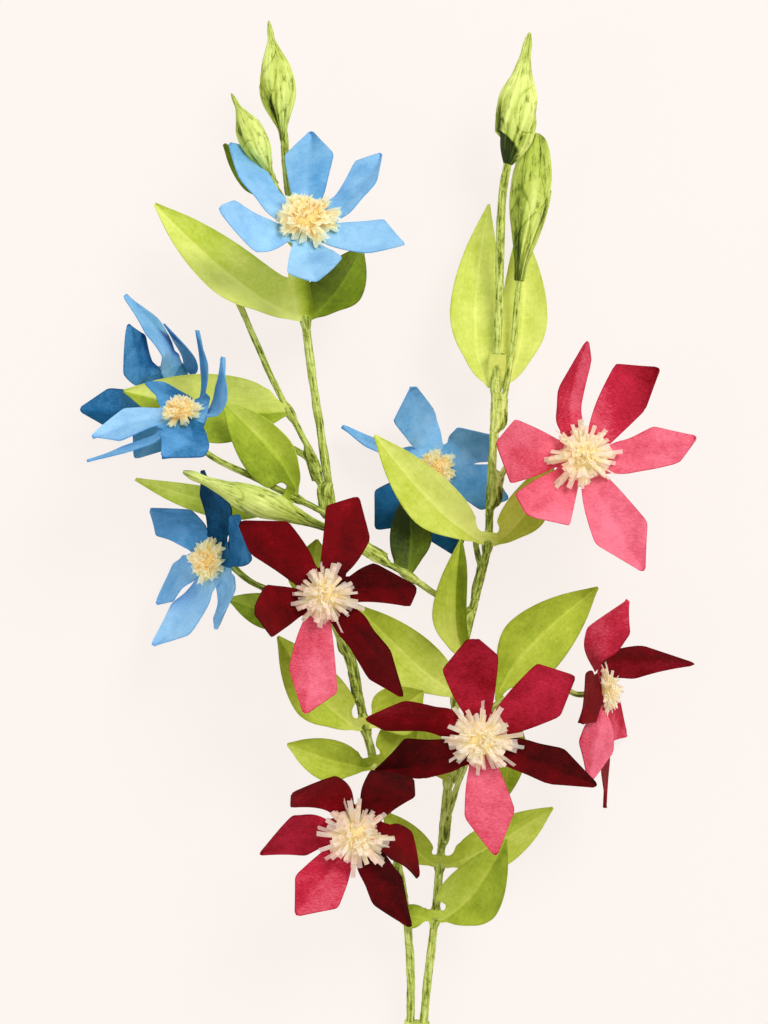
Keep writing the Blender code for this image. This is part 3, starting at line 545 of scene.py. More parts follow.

# Flowers: hub centre, the way the face looks, the stem's carrier and way, the fringe, and six petals.
# A petal is the place of its tip from the hub in shares of the petal length, the degrees that its
# blade is turned out of the face-up position, how far its tip leans to one side, and its tone: the
# paper's colour together with painted light and shade on that petal.
# Its cut, where given: for the shoulder on one side and then the other, the share of the length and
# the millimetres out from the middle; then how far the tip swings aside, the width of its end, and
# in some how its tone changes towards the tip. The blush makes the fringe's strips pinker.
flowers = {
    "blue_flower_1": {
        "hub": (-25, 94, 50), "face": (0.0, 0.50, 0.86), "colour": "blue_petal",
        "carrier": "left_main_stem", "leavesAt": (-28, 79, 28), "route": [(-26, 85, 35)],
        "fringe": 1.0, "petals": [
            (-0.66, 0.68, -0.34, 55, 0.6, 0.84), (0.03, 0.79, -0.58, 20, 0.1, 0.7),
            (0.60, 0.64, -0.46, 50, 0.4, 0.76), (0.79, -0.18, 0.42, 40, -0.5, 0.86),
            (0.09, -0.52, 0.72, 0, 0.0, 0.9), (-0.72, 0.08, 0.42, 15, 0.3, 0.88),
        ], "cuts": [
            (0.65, 5.5, 0.9, 11.5, 0, 1.5), (0.8, 9, 0.7, 8.5, 0, 1.5), (0.9, 9, 0.65, 6.5, 0, 1.5),
            (0.65, 11, 0.7, 5, 0, 1.5), (0.6, 11, 0.6, 7.5, 0, 6), (0.5, 7, 0.85, 6, 0, 2),
        ],
    },
    "blue_flower_2": {
        "hub": (-72, 42, 18), "face": (-0.55, 0.45, -0.70), "colour": "blue_petal",
        "carrier": "fork_stem", "leavesAt": (-24, 19, 30),
        "route": [(-32, 22, 25), (-45, 29, 21), (-57, 34, 22)],
        "fringe": 0.7, "turnEnd": 0.25, "petals": [
            (-0.39, 0.75, 0.10, 70, 0.4, 0.8), (-0.34, 0.48, 0.50, 50, 0.2, 0.4),
            (-0.05, 0.50, 0.20, 78, 0.0, 0.5), (-0.74, -0.22, 0.20, 35, 0.4, 0.35),
            (-0.30, -0.60, -0.10, 30, 0.0, 0.6), (0.30, -0.40, -0.447, 30, 0.0, 0.4),
        ],
    },
    "blue_flower_3": {
        "hub": (-65, 31, 57), "face": (-0.15, 0.75, 0.65), "colour": "blue_petal",
        "carrier": "bud_3_stem", "leavesAt": (-7, -12, 38),
        "route": [(-13, -5, 36), (-20, 0, 34), (-30, 5, 33), (-44, 12, 36), (-56, 18, 43)],
        "fringe": 0.7, "turnEnd": 0.22, "petals": [
            (-0.16, 0.32, -0.44, 45, 0.0, 0.5), (0.12, 0.72, -0.20, 80, 0.3, 0.55),
            (0.34, 0.48, 0.10, 72, 0.0, 0.7), (-0.16, -0.32, 0.62, 30, 0.4, 0.42),
            (-0.76, -0.14, -0.10, 55, 0.2, 0.85), (-0.78, -0.34, 0.30, 80, 0.2, 0.7),
        ],
    },
    "blue_flower_4": {
        "hub": (-57, -16, 30), "face": (-0.62, 0.05, 0.78), "colour": "blue_petal",
        "carrier": "left_main_stem", "leavesAt": (-12, -38, 32),
        "route": [(-20, -33, 34), (-32, -28, 33), (-44, -23, 29)],
        "fringe": 0.75, "petals": [
            (-0.52, 0.41, 0.34, 40, -0.4, 0.55), (-0.02, 0.76, 0.16, 55, 0.4, 0.1),
            (0.26, 0.38, 0.60, 50, 0.0, 0.3), (-0.46, -0.37, -0.36, 60, 0.2, 0.78),
            (-0.52, -0.70, -0.12, 50, 0.2, 0.9), (0.05, -0.56, 0.40, 70, 0.0, 0.8),
        ],
    },
    "blue_flower_5": {
        "hub": (17, 14, 12), "face": (0.05, 0.15, 0.98), "colour": "blue_petal",
        "carrier": "right_main_stem", "leavesAt": (32.5, -19, 30),
        "route": [(31, -13, 17), (30, -6, 5), (24, 3, 2.6)],
        "fringe": 0.7, "petals": [
            (-0.20, 0.70, 0.26, 30, 0.3, 0.78), (0.52, 0.31, 0.14, 35, -0.3, 0.68),
            (-0.78, 0.40, -0.10, 75, 0.2, 0.75), (0.20, -0.74, -0.12, 10, 0.0, 0.2),
            (0.64, -0.20, 0.02, 30, -0.4, 0.65), (-0.50, -0.50, 0.10, 10, 0.0, 0.25),
        ], "cuts": [
            (0.76, 11, 0.56, 5.5, 0, 3), (0.55, 8.5, 0.6, 9.5, -1.2, 1.6), (0.66, 9, 0.62, 9, 0.8, 1.6),
            (0.64, 9, 0.64, 9, 0, 1.6), (0.6, 9, 0.68, 9, -1.6, 1.6), (0.64, 9, 0.64, 9, 0, 1.6),
        ],
    },
    "crimson_flower_1": {
        "hub": (65, 18, 44), "face": (-0.05, 0.05, 1.0), "colour": "pink_petal",
        "carrier": "right_main_stem", "leavesAt": (35.6, 11, 30),
        "route": [(42, 16, 32), (50, 17, 34), (58, 17.5, 35)],
        "fringe": 1.0, "petals": [
            (0.05, 0.95, 0.12, 45, -0.4, 0.68), (0.64, 0.75, -0.12, 5, 0.3, 0.72),
            (0.96, 0.15, -0.08, 35, 0.2, 0.84), (0.50, -0.95, 0.02, 0, 0.5, 0.9),
            (-0.40, -0.54, 0.50, 0, -0.4, 0.85), (-0.74, 0.10, 0.42, 0, 0.4, 0.78),
        ], "cuts": [
            (0.6, 7.5, 0.85, 5, 0, 2), (0.8, 11.5, 0.65, 6, 0, 1.5, -0.34), (0.7, 11, 0.8, 6, 1.5, 1.5),
            (0.7, 9.5, 0.65, 9, 0, 1.5), (0.75, 9.5, 0.85, 11, -3.5, 3), (0.75, 12, 0.8, 9, 0, 2),
        ],
    },
    "crimson_flower_2": {
        "hub": (-19, -27, 60), "face": (0.0, 0.0, 1.0), "colour": "crimson_petal",
        "carrier": "left_main_stem", "leavesAt": (-10, -53, 31), "route": [(-13, -45, 37), (-17, -35, 44)],
        "fringe": 0.9, "blush": 0.2, "petals": [
            (-0.69, 0.60, 0.20, 15, -0.3, 0.2), (0.17, 0.84, -0.20, 10, 0.4, 0.18),
            (0.73, 0.02, 0.42, 15, -0.3, 0.14), (0.62, -0.84, 0.02, 45, 0.4, 0.14),
            (-0.16, -0.96, 0.12, 5, 0.4, 0.78), (-0.54, -0.12, 0.60, 10, 0.0, 0.16),
        ], "cuts": [
            (0.75, 6.5, 0.7, 10, 0, 2), (0.85, 6, 0.6, 10, -4, 1.5), (0.5, 8.5, 0.9, 5, 1.5, 2),
            (0.65, 8, 0.75, 8.5, 0, 1.5), (0.8, 10, 0.65, 6.5, 0, 1.5), (0.85, 9, 0.55, 8, 0, 4),
        ],
    },
    "crimson_flower_3": {
        "hub": (31, -73, 60), "face": (0.0, -0.05, 1.0), "colour": "crimson_petal",
        "carrier": "right_main_stem", "leavesAt": (20.5, -101, 25), "route": [(23, -94, 31), (26, -84, 41)],
        "fringe": 1.0, "blush": 0.12, "petals": [
            (-0.07, 0.84, 0.26, 0, 0.4, 0.42), (0.76, 0.52, 0.18, 0, -0.4, 0.42),
            (0.96, -0.38, -0.02, 30, 0.5, 0.16), (0.12, -0.94, 0.16, 0, -0.2, 0.8),
            (-0.87, -0.27, -0.12, 30, -0.4, 0.14), (-0.94, 0.18, 0.24, 45, 0.3, 0.3),
        ], "cuts": [
            (0.7, 10.5, 0.8, 8, 0, 4), (0.8, 10, 0.7, 8.5, 0, 1.5), (0.65, 9, 0.65, 6, 0, 1.5),
            (0.65, 8.5, 0.65, 8, 0, 1.5), (0.6, 5, 0.65, 12, 0, 1.5), (0.8, 6, 0.75, 9, 0, 1.5),
        ],
    },
    "crimson_flower_4": {
        "hub": (-9, -104, 54), "face": (0.0, -0.25, 0.96), "colour": "crimson_petal",
        "carrier": "left_main_stem", "leavesAt": (5, -119, 24), "route": [(-1, -115, 32), (-6, -110, 40)],
        "fringe": 1.0, "blush": 0.22, "petals": [
            (-0.57, 0.32, 0.50, 40, 0.0, 0.3), (0.49, 0.48, 0.46, 25, 0.2, 0.14),
            (0.52, -0.40, -0.40, 45, 0.3, 0.16), (0.43, -0.78, 0.02, 35, 0.4, 0.12),
            (-0.49, -0.66, 0.12, 0, -0.3, 0.6), (-0.80, -0.18, -0.18, 38, -0.3, 0.46),
        ], "cuts": [
            (0.85, 5, 0.7, 12, -3.5, 2), (0.75, 12, 0.75, 6, 1.5, 2), (0.6, 7.5, 0.4, 7, 0, 2),
            (0.55, 8, 0.65, 8, 0, 2), (0.7, 9.5, 0.7, 8, 0, 1.5), (0.6, 8.5, 0.45, 10, 0, 1.5),
        ],
    },
    "crimson_flower_5": {
        "hub": (71, -59, 40), "face": (0.96, 0.10, 0.12), "colour": "pink_petal",
        "carrier": "right_main_stem", "leavesAt": (22.5, -80, 27),
        "route": [(32, -68, 32), (45, -60, 36), (58, -58, 38)],
        "fringe": 0.7, "petals": [
            (0.24, 0.76, -0.18, 45, 0.0, 0.6), (0.80, 0.20, -0.20, 50, 0.2, 0.3),
            (-0.18, -0.20, 0.62, 50, 0.2, 0.22), (-0.12, -0.74, 0.18, 45, 0.2, 0.8),
            (0.04, -0.98, -0.16, 78, 0.0, 0.3), (0.28, -0.42, -1.015, 50, 0.0, 0.66),
        ],
    },
}


# The two directions that span a flower's face
def faceAxes(face):
    face = unit(face)
    guide = (1.0, 0.0, 0.0) if abs(face[0]) < 0.9 else (0.0, 0.0, 1.0)
    across = squareTo(guide, face)
    return face, across, np.cross(face, across)


# The way across a blade that runs along axis and is turned so many degrees from lying face up;
# of the two ways to turn it, the one that lies nearer to its root
def turnedWay(axis, turn, rootWay):
    flatWay = squareTo(np.cross(axis, (0.0, 0.0, 1.0)), axis)
    if np.dot(flatWay, rootWay) < 0:
        flatWay = -flatWay
    ways = [turned(flatWay, axis, math.radians(sign * turn)) for sign in (1, -1)]
    return max(ways, key=lambda way: np.dot(way, rootWay))


petalLook = {
    "acrosses": [0.0, 0.12, 0.25, 0.4, 0.55, 0.7, 0.84, 0.95, 1.0], "tipSwing": 0.22, "shoulderSwing": 0.1,
    "turnEnd": 0.45, "creaseEnd": 0.3, "cornerRound": 0.3, "cornerSpread": 0.02, "bulge": 0.15, "curl": 1.5,
    "ripple": 0.3, "hubRows": 5, "tipRound": 0.022, "halfTone": 0.06, "rimShade": 0.14, "fade": 0.09,
}


# One edge of a petal, out from its middle line, by t from neck to tip: a soft curve from the neck to
# the shoulder at t = 0.64, then a line to the end that bulges a little; the shoulder's corner and the
# tip are slightly rounded
def petalEdge(t, rootHalf, shoulderHalf, swing, tipHalf):
    neck = sizes["petalNeck"] / 2
    knee = sizes["shoulder"]
    rising = smoothThrough([0.0, 0.3, knee], [neck, mix(neck, shoulderHalf, 0.5), shoulderHalf],
                           np.minimum(t, knee))
    rising = rising + (rootHalf - neck) * np.exp(-t / 0.02)
    fall = np.clip((t - knee) / (1 - knee), 0, 1)
    end = swing + tipHalf
    falling = mix(shoulderHalf, end, fall) + petalLook["bulge"] * np.sin(math.pi * fall)
    corner = petalLook["cornerRound"] * np.exp(-((t - knee) / petalLook["cornerSpread"]) ** 2)
    edge = np.where(t < knee, rising, falling) - corner
    rounding = np.clip((t - 1 + petalLook["tipRound"]) / petalLook["tipRound"], 0, 1)
    return mix(swing, edge, np.sqrt(1 - rounding**2)) if tipHalf < 2 else edge


# One sheet with six petals. Each sixth is a wedge of the flat hub followed by a petal: its middle
# line is a parabola from the hub's rim to the tip, its cross lines turn from the hub's plane to the
# blade's own, its middle sinks in a soft crease, and its tip curls a little.
def corollaParts(flower, draw):
    hub = np.asarray(flower["hub"], float)
    face, across, upward = faceAxes(flower["face"])
    petals = []
    for index, (x, y, z, turn, lean, tone) in enumerate(flower["petals"]):
        reach = np.array([x, y, z]) * sizes["petalLength"]
        swing = petalLook["shoulderSwing"] * lean
        half = sizes["petalWidth"] / 2
        cut = (sizes["shoulder"] + swing, half, sizes["shoulder"] - swing, half,
               lean * sizes["petalWidth"] * petalLook["tipSwing"], sizes["petalTip"])
        cut = flower["cuts"][index] if "cuts" in flower else cut
        petals.append((math.atan2(np.dot(reach, upward), np.dot(reach, across)), reach, turn, tone, cut))
    petals.sort(key=lambda petal: petal[0])
    spin = sum(petal[0] - math.tau * index / 6 for index, petal in enumerate(petals)) / 6
    rim = sizes["hubRadius"] * math.cos(math.asin(sizes["petalNeck"] / 2 / sizes["hubRadius"]))
    rootHalf = rim * math.tan(math.pi / 6)
    t = np.concatenate([np.linspace(0, 0.06, 5)[:-1], np.linspace(0.06, sizes["shoulder"], 16)[:-1],
                        np.linspace(sizes["shoulder"], 0.97, 12), [0.978, 0.984, 0.99, 0.995, 0.9985, 1.0]])
    acrosses = np.array(petalLook["acrosses"])
    v = np.concatenate([acrosses[:0:-1], -acrosses])
    side = v[None, :, None]
    turnEnd = flower.get("turnEnd", petalLook["turnEnd"])
    parts = []
    for index, (_, reach, turn, tone, cut) in enumerate(petals):
        angle = spin + math.tau * index / 6
        outward = across * math.cos(angle) + upward * math.sin(angle)
        sideways = upward * math.cos(angle) - across * math.sin(angle)
        start = hub + outward * rim
        tip = hub + reach
        length = np.linalg.norm(tip - start)
        axis = (tip - start) / length
        blade = turnedWay(axis, turn, sideways)
        bend = start + outward * sizes["petalBow"] * length
        oneShare = np.interp(t, [0, sizes["shoulder"], 1], [0, cut[0], 1])[:, None, None]
        otherShare = np.interp(t, [0, sizes["shoulder"], 1], [0, cut[2], 1])[:, None, None]
        share = (oneShare + otherShare) / 2 + side * (oneShare - otherShare) / 2
        oneEdge = petalEdge(t, rootHalf, cut[1], cut[4], cut[5] / 2)[:, None, None]
        otherEdge = -petalEdge(t, rootHalf, cut[3], -cut[4], cut[5] / 2)[:, None, None]
        centre = cut[4] * ease((t[:, None, None] - 0.5) / 0.5)
        aside = np.where(side > 0, mix(centre, oneEdge, side), mix(centre, otherEdge, -side))
        spine = mix(mix(start, bend, share), mix(bend, tip, share), share)
        way = squareTo(mix(sideways, blade, ease(share / turnEnd)), axis)
        normal = np.cross(axis, way)
        crease = sizes["petalCrease"] * ease(share / petalLook["creaseEnd"]) * (1 - np.sqrt(side**2 + 0.004))
        curl = draw.uniform(-1, 1) * petalLook["curl"] * share**3
        ripple = petalLook["ripple"] * np.sin(draw.uniform(4, 8) * share + 2.5 * side + draw.uniform(0, 6)) * share
        points = spine + way * aside + normal * (curl + ripple - crease)
        inner = np.linspace(0, 1, petalLook["hubRows"])[:-1, None, None]
        wedge = hub + outward * rim * inner + sideways * side * rootHalf * inner
        points[0] = start + sideways * side[0] * rootHalf
        whole = np.concatenate([wedge, points])
        lengthwise = np.concatenate([inner[:, 0] * rim, t[:, None] * length + rim])
        reached = (lengthwise - rim) / length
        # Painted shade: the cut edge of each petal is darkened, and one half of each petal is drawn a little lighter
        # than the other at random, as light would fall across its crease
        nearRim = np.maximum((np.abs(v)[None] - 0.95) / 0.05, (reached - 0.985) / 0.015)
        nearRim = np.where(reached > 0, np.clip(nearRim, 0, 1), 0)
        fade = cut[6] if len(cut) > 6 else draw.uniform(-1, 1) * petalLook["fade"]
        tones = (tone + petalLook["halfTone"] * draw.uniform(-1, 1) * np.tanh(v * 12)[None]
                 + fade * ease(reached) - petalLook["rimShade"] * nearRim)
        parts.append(gridPart(whole, lengthwise, v[None] * sizes["petalWidth"] / 2, {"tone": tones}))
    return parts


fringeLook = {
    "strip": {"count": 240, "length": 7.4, "width": 1.5, "wall": 0.14, "across": 3, "ripple": 0.12,
              "stations": 6, "low": 2, "high": 96, "rootWidth": 0.8, "twist": 0.55, "jitter": 15,
              "spread": 2.6, "stray": 0.14, "vary": 0.17, "rootTone": 0.2, "locks": 0.16, "uneven": 0.08},
    "ruffle": {"count": 104, "length": 6.6, "width": 3.3, "wall": 0.14, "across": 5, "ripple": 0.6,
               "stations": 6, "low": 2, "high": 92, "rootWidth": 0.35, "twist": 0.5, "jitter": 13,
               "spread": 2.6, "stray": 0.05, "vary": 0.13, "rootTone": 0.02, "locks": 0.12, "uneven": 0.06},
}


# A rolled fringe: strips that leave a small root in all directions up to the hub's plane. Each is a
# parabola that first rises and then falls outwards, with a thin box section and cut ends.
def fringePart(flower, look, draw):
    face, across, upward = faceAxes(flower["face"])
    size = flower["fringe"]
    base = np.asarray(flower["hub"], float) + face * (sizes["paper"] / 2 + sizes["clearance"] + 0.3)
    count = look["count"]
    rank = (np.arange(count) + 0.5) / count
    tilt = np.radians(mix(look["low"], look["high"], rank**0.6) + draw.normal(0, look["jitter"], count))
    spin = np.arange(count) * math.pi * (3 - math.sqrt(5)) + draw.normal(0, 0.25, count)
    spin = spin + look["locks"] * np.sin(8 * spin + draw.uniform(0, math.tau))
    uneven = 1 + look["uneven"] * (np.cos(2 * spin + draw.uniform(0, 6)) + np.cos(3 * spin + draw.uniform(0, 6)))
    radial = across * np.cos(spin)[:, None] + upward * np.sin(spin)[:, None]
    way = face * np.cos(tilt)[:, None] + radial * np.sin(tilt)[:, None]
    length = look["length"] * size * draw.normal(1.0, look["vary"], count) * mix(1.0, uneven, rank)
    stray = (draw.random(count) < look["stray"]) & (rank > 0.6)
    length = np.where(stray, length * 1.3, length)[:, None]
    root = base + radial * (look["spread"] * size * rank[:, None] ** 0.5)
    rise = root + length * 0.5 * unit(way + 0.9 * face)
    end = root + length * way
    lift = np.maximum(0.0, 0.3 - along(end - base, face)) * face
    end = end + lift
    s = np.linspace(0, 1, look["stations"])[None, :, None]
    spine = mix(mix(root[:, None], rise[:, None], s), mix(rise[:, None], end[:, None], s), s)
    tangent = unit(np.gradient(spine, axis=1))
    ringWay = unit(np.cross(way, face + 0.001))
    twist = draw.normal(0, look["twist"], count)[:, None]
    flat = ringWay * np.cos(twist) + np.cross(ringWay, way) * np.sin(twist)
    flat = squareTo(flat[:, None], tangent)
    thick = np.cross(tangent, flat)
    half = look["width"] * size * mix(look["rootWidth"], 1.0, s) * draw.uniform(0.8, 1.2, (count, 1, 1)) / 2
    v = np.linspace(1, -1, look["across"])
    ring = np.concatenate([v, v[::-1]])[None, None, :, None]
    level = np.concatenate([v * 0 + 1, v * 0 - 1])[None, None, :, None] * look["wall"] / 2
    phase = draw.uniform(0, 6, (count, 1, 1, 1))
    wave = look["ripple"] * s[..., None] ** 2 * np.sin(3.0 * ring + phase)
    ragged = look["ripple"] * 0.9 * s[..., None] ** 3 * np.sin(4.0 * ring + 2 * phase)
    points = (spine[:, :, None] + flat[:, :, None] * ring * half[..., None]
              + thick[:, :, None] * (level + wave) + tangent[:, :, None] * ragged)
    stations, columns = look["stations"], 2 * look["across"]
    row, column = np.meshgrid(np.arange(stations - 1), np.arange(columns), indexing="ij")
    beside = (column + 1) % columns
    skin = np.stack([row * columns + column, row * columns + beside,
                     (row + 1) * columns + beside, (row + 1) * columns + column], axis=-1).reshape(-1, 4)
    k = np.arange(look["across"] - 1)
    cap = np.stack([k, columns - 1 - k, columns - 2 - k, k + 1], axis=-1)
    faces = np.vstack([skin, cap, cap[:, ::-1] + (stations - 1) * columns])
    faces = (faces[None] + np.arange(count)[:, None, None] * stations * columns).reshape(-1, 4)
    blush = flower.get("blush", 0.0)
    tone = mix(look["rootTone"], mix(0.56 + blush, 0.8 + blush, rank[:, None, None]), s**0.8)
    tone = tone + draw.normal(0, 0.07, (count, 1, 1)) + 0 * ring[..., 0]
    return {"points": points.reshape(-1, 3), "faces": faces, "pattern": np.zeros((len(faces) * 4, 2)),
            "marks": {"tone": tone.ravel()}}


# The tuft's rolled core, so that no gap shows between the strips: a low dome on the hub
def corePart(flower, tone):
    face, across, upward = faceAxes(flower["face"])
    size = flower["fringe"]
    base = np.asarray(flower["hub"], float) + face * (sizes["paper"] / 2 + sizes["clearance"])
    height = np.array([0, 0, 1.5, 3.1, 4.4, 5.2, 5.5, 5.5])[:, None, None] * size
    reach = np.array([0, 3.6, 4.8, 4.9, 4.1, 2.6, 1.1, 0])[:, None, None] * size
    angle = np.linspace(0, math.tau, 24, endpoint=False)[None, :, None]
    ring = across * np.cos(angle) + upward * np.sin(angle)
    points = base + face * height + ring * reach
    return gridPart(points, 0.0, 0.0, {"tone": tone}, wrapped=True)


for flowerName, flower in flowers.items():
    draw = np.random.default_rng(sum(map(ord, flowerName)))
    facing = unit(flower["face"])
    stemEnd = np.asarray(flower["hub"], float) - facing * (sizes["paper"] / 2 + sizes["clearance"])
    onward = flower["route"] + [stemEnd - facing * sizes["calyxLength"], stemEnd]
    makeStem(flowerName + "_stem", sideRoute(flower["carrier"], flower["leavesAt"], onward), sizes["sideStem"],
             (flower["carrier"], flower["leavesAt"]))
    blue = flower["colour"] == "blue_petal"
    makePiece(flowerName + "_petals", corollaParts(flower, draw), finishes[flower["colour"]],
              [flowerName], sizes["sheetWall"])
    tuftSlot = "warm_fringe" if blue else "pale_fringe"
    tuft = [fringePart(flower, fringeLook["ruffle" if blue else "strip"], draw), corePart(flower, 0.4 if blue else 0.24)]
    makePiece(flowerName + "_fringe_strips", tuft, finishes[tuftSlot], [flowerName + "_fringe"])
print("flowers made:", len(flowers))

# Buds: the stem each one ends, the place of its tip, its share of the bud radius, its profile as shares
# of length and radius, how far up its inner roll, darkened with painted shade, shows on the left, the angle
# and height of a hollow darkened with painted shade (angle 0 faces the camera, a quarter turn on is to the
# right of an upright bud), and its tone
buds = {
    "bud_1": ("left_main_stem", (-38, 162, 31), 1.02, "slender", 0.0, (5.55, 0.24), 0.84),
    "bud_2": ("bud_2_stem", (-50, 137, 40), 0.82, "slender", 0.0, (5.4, 0.6), 0.84),
    "bud_3": ("bud_3_stem", (-65, 13, 53), 0.86, "middle", 0.0, (4.6, 0.4), 0.82),
    "bud_4": ("right_main_stem", (48, 158, 32), 1.2, "skirted", 0.25, (5.0, 0.3), 0.84),
    "bud_5": ("bud_5_stem", (51, 126, 20), 1.18, "blunt", 0.0, (5.65, 0.2), 0.68),
}
budProfiles = {
    "slender": [(0, 0.25), (0.09, 0.28), (0.19, 0.54), (0.33, 0.9), (0.47, 1.0), (0.62, 0.86), (0.75, 0.48),
                (0.84, 0.22), (0.93, 0.16), (1, 0.05)],
    "middle": [(0, 0.25), (0.12, 0.34), (0.27, 0.66), (0.44, 1.0), (0.6, 0.88), (0.74, 0.5), (0.85, 0.32),
               (0.95, 0.3), (1, 0.12)],
    "skirted": [(0, 0.26), (0.06, 0.5), (0.13, 0.74), (0.21, 0.9), (0.3, 0.98), (0.4, 1.0),
                (0.56, 0.82), (0.7, 0.46), (0.82, 0.27), (0.93, 0.2), (1, 0.06)],
    "blunt": [(0, 0.25), (0.12, 0.36), (0.28, 0.66), (0.48, 0.95), (0.64, 1.0), (0.8, 0.86), (0.92, 0.62),
              (0.98, 0.34), (1, 0.1)],
}
budLook = {
    "rows": 150, "sides": 144, "twist": 0.9, "crease": 0.05, "folds": 0.08, "flap": 0.08, "overlap": 1.2,
    "pleat": 0.02, "streak": 0.3, "shade": 0.3,
    "rollShare": 0.7, "rollAngle": 5.0,
}


# A bud: a spindle with its profile; on it creases that run lengthwise and turn a little, soft folds,
# and the edge of the last wrap, a step that winds up it. Its foot goes a little way over the stem.
def makeBud(name, carrier, tip, shareOfRadius, profile, rollEnd, hollow, baseTone):
    draw = np.random.default_rng(sum(map(ord, name)) + 7)
    route = stems[carrier][0]
    base = route[-1] - unit(route[-1] - route[-2]) * budLook["overlap"]
    share = np.linspace(0, 1, budLook["rows"])
    angle = np.linspace(0, math.tau, budLook["sides"], endpoint=False)[None]
    spine = mix(base, np.asarray(tip, float), share[:, None])
    places, reaches = zip(*budProfiles[profile])
    reach = (smoothThrough(places, reaches, share) * sizes["budRadius"] * shareOfRadius)[:, None]
    up = share[:, None]
    turnedAngle = angle - budLook["twist"] * up
    lines = np.abs(waves(draw, turnedAngle, up, (1, 4), (0.4, 1.8), 7, 0.3))
    fine = np.abs(waves(draw, turnedAngle, up, (4, 14), (0.5, 4.0), 8, 0.1))
    valley = np.exp(-(lines / 0.06) ** 2)
    fineValley = np.exp(-(fine / 0.1) ** 2) * ease(0.5 + waves(draw, angle, up, (1, 3), (1.0, 3.0), 6, 0.2))
    folds = waves(draw, turnedAngle, up, (1, 5), (0.3, 2.4), 12, 0.4)
    pleats = waves(draw, turnedAngle, up, (9, 22), (0.2, 1.1), 10, 0.1)
    wrap = (angle / math.tau - 1.1 * up + draw.random()) % 1.0
    flap = budLook["flap"] * (1 - wrap) * ease(wrap * 40)
    body = (1 - budLook["crease"] * valley - 0.35 * budLook["crease"] * fineValley
            + budLook["folds"] * folds + budLook["pleat"] * pleats + flap - 0.02)
    away = np.abs((angle - hollow[0] + math.pi) % math.tau - math.pi)
    pocket = np.exp(-(away / 0.3) ** 2 - ((up - hollow[1]) / 0.14) ** 2)
    body = body - 0.22 * pocket
    skirtEdge = rollEnd * (0.5 + 0.5 * np.cos(angle - budLook["rollAngle"])) ** 0.7
    roll = ease((skirtEdge - up) / 0.006) * (rollEnd > 0)
    body = body * mix(1.0, budLook["rollShare"], roll)
    foot = (1 - up) ** 2
    # Painted light and shade in the tone: darker in the creases, the hollow and the inner roll, under the edge of the
    # last wrap and on one side of the foot, and lighter on the crests of the folds and, near the foot, of the pleats;
    # it is also darker right at the foot
    tone = (baseTone - 0.24 * valley - 0.14 * fineValley + 0.22 * folds - 0.62 * pocket - 0.6 * roll
            + budLook["streak"] * foot * pleats - 0.34 * np.exp(-wrap / 0.02) - 0.2 * ease(1 - up * 6)
            - budLook["shade"] * foot * (0.5 + 0.5 * np.cos(angle - budLook["rollAngle"])))
    part = tubePart(spine, reach * body, share * 40, {"tone": tone}, np.array([0.0, 0.0, 1.0]))
    makePiece(name + "_paper", [part], finishes["bud"], [name], 0.0, 65)


for budName, bud in buds.items():
    makeBud(budName, *bud)
print("buds made:", len(buds))

# Leaf pairs: carrier, place on it, whether the piece sits in front of the stem (1) or behind it (-1),
# how far the sheet cups up the stem between its two leaves, then for each leaf its tip, width share,
# fold, roll, the tones of its two halves, which hold painted light and shade on either side of the fold
# as well as the paper's colour, and where they differ the shares of the width they have
leafPairs = {
    "leaf_pair_1": ("left_main_stem", (-26, 64, 30), 1, 17,
                    ((-76, 102, 24), 1.0, 25, 20, 0.78, 0.98), ((-7, 88, 20), 0.8, 20, 0, 0.2, 0.3)),
    "leaf_pair_2": ("blue_flower_3_stem", (-30, 5, 33), 1, 3.2,
                    ((-53, 36, 40), 1.0, 25, 0, 0.42, 0.66, 1.1, 0.7), ((-83, 11, 14), 0.5, 20, 0, 0.7, 0.7)),
    "leaf_pair_3": ("blue_flower_4_stem", (-26, -31, 34), -1, 1.0,
                    ((-22, -9, 42), 0.8, 20, 0, 0.5, 0.6), ((-52, -29, 19), 0.6, 20, 0, 0.5, 0.3)),
    "leaf_pair_4": ("left_main_stem", (-6, -70, 31), 1, 3.2,
                    ((-35, -41, 30), 0.95, 25, 0, 0.7, 0.6), ((13, -59, 33), 0.9, 25, 0, 0.6, 0.7)),
    "leaf_pair_5": ("left_main_stem", (-4, -84, 30), 1, 3.2,
                    ((-32, -77, 26), 0.7, 20, 0, 0.5, 0.6), ((9, -66, 24), 0.7, 20, 0, 0.6, 0.6)),
    "leaf_pair_6": ("right_main_stem", (37, 42, 29), -1, 10,
                    ((35, 103, 12), 0.85, 20, 0, 0.85, 0.8), ((46, 97, 0.1), 0.8, 20, 0, 0.85, 0.9)),
    "leaf_pair_7": ("right_main_stem", (34, -10, 30), 1, 3.2,
                    ((-3, 25, 44), 0.9, 25, 0, 0.94, 0.74), ((56, 17, 20), 0.7, 20, 0, 0.72, 0.6)),
    "leaf_pair_8": ("crimson_flower_5_stem", (38, -64, 34), -1, 1.0,
                    ((71, -25, 22), 1.1, 22, 0, 0.6, 0.52), ((40, -96, 20), 0.6, 20, 0, 0.5, 0.5)),
    "leaf_pair_9": ("right_main_stem", (19, -117, 23), 1, 3.2,
                    ((0, -99, 30), 0.6, 20, 0, 0.6, 0.6), ((56, -98, 24), 0.8, 25, 0, 0.7, 0.75)),
    "leaf_pair_10": ("right_main_stem", (17, -135, 18), 1, 3.2,
                     ((40, -107, 40), 1.1, 30, 0, 0.68, 0.5), ((3, -133, 22), 0.4, 20, 0, 0.5, 0.5)),
}

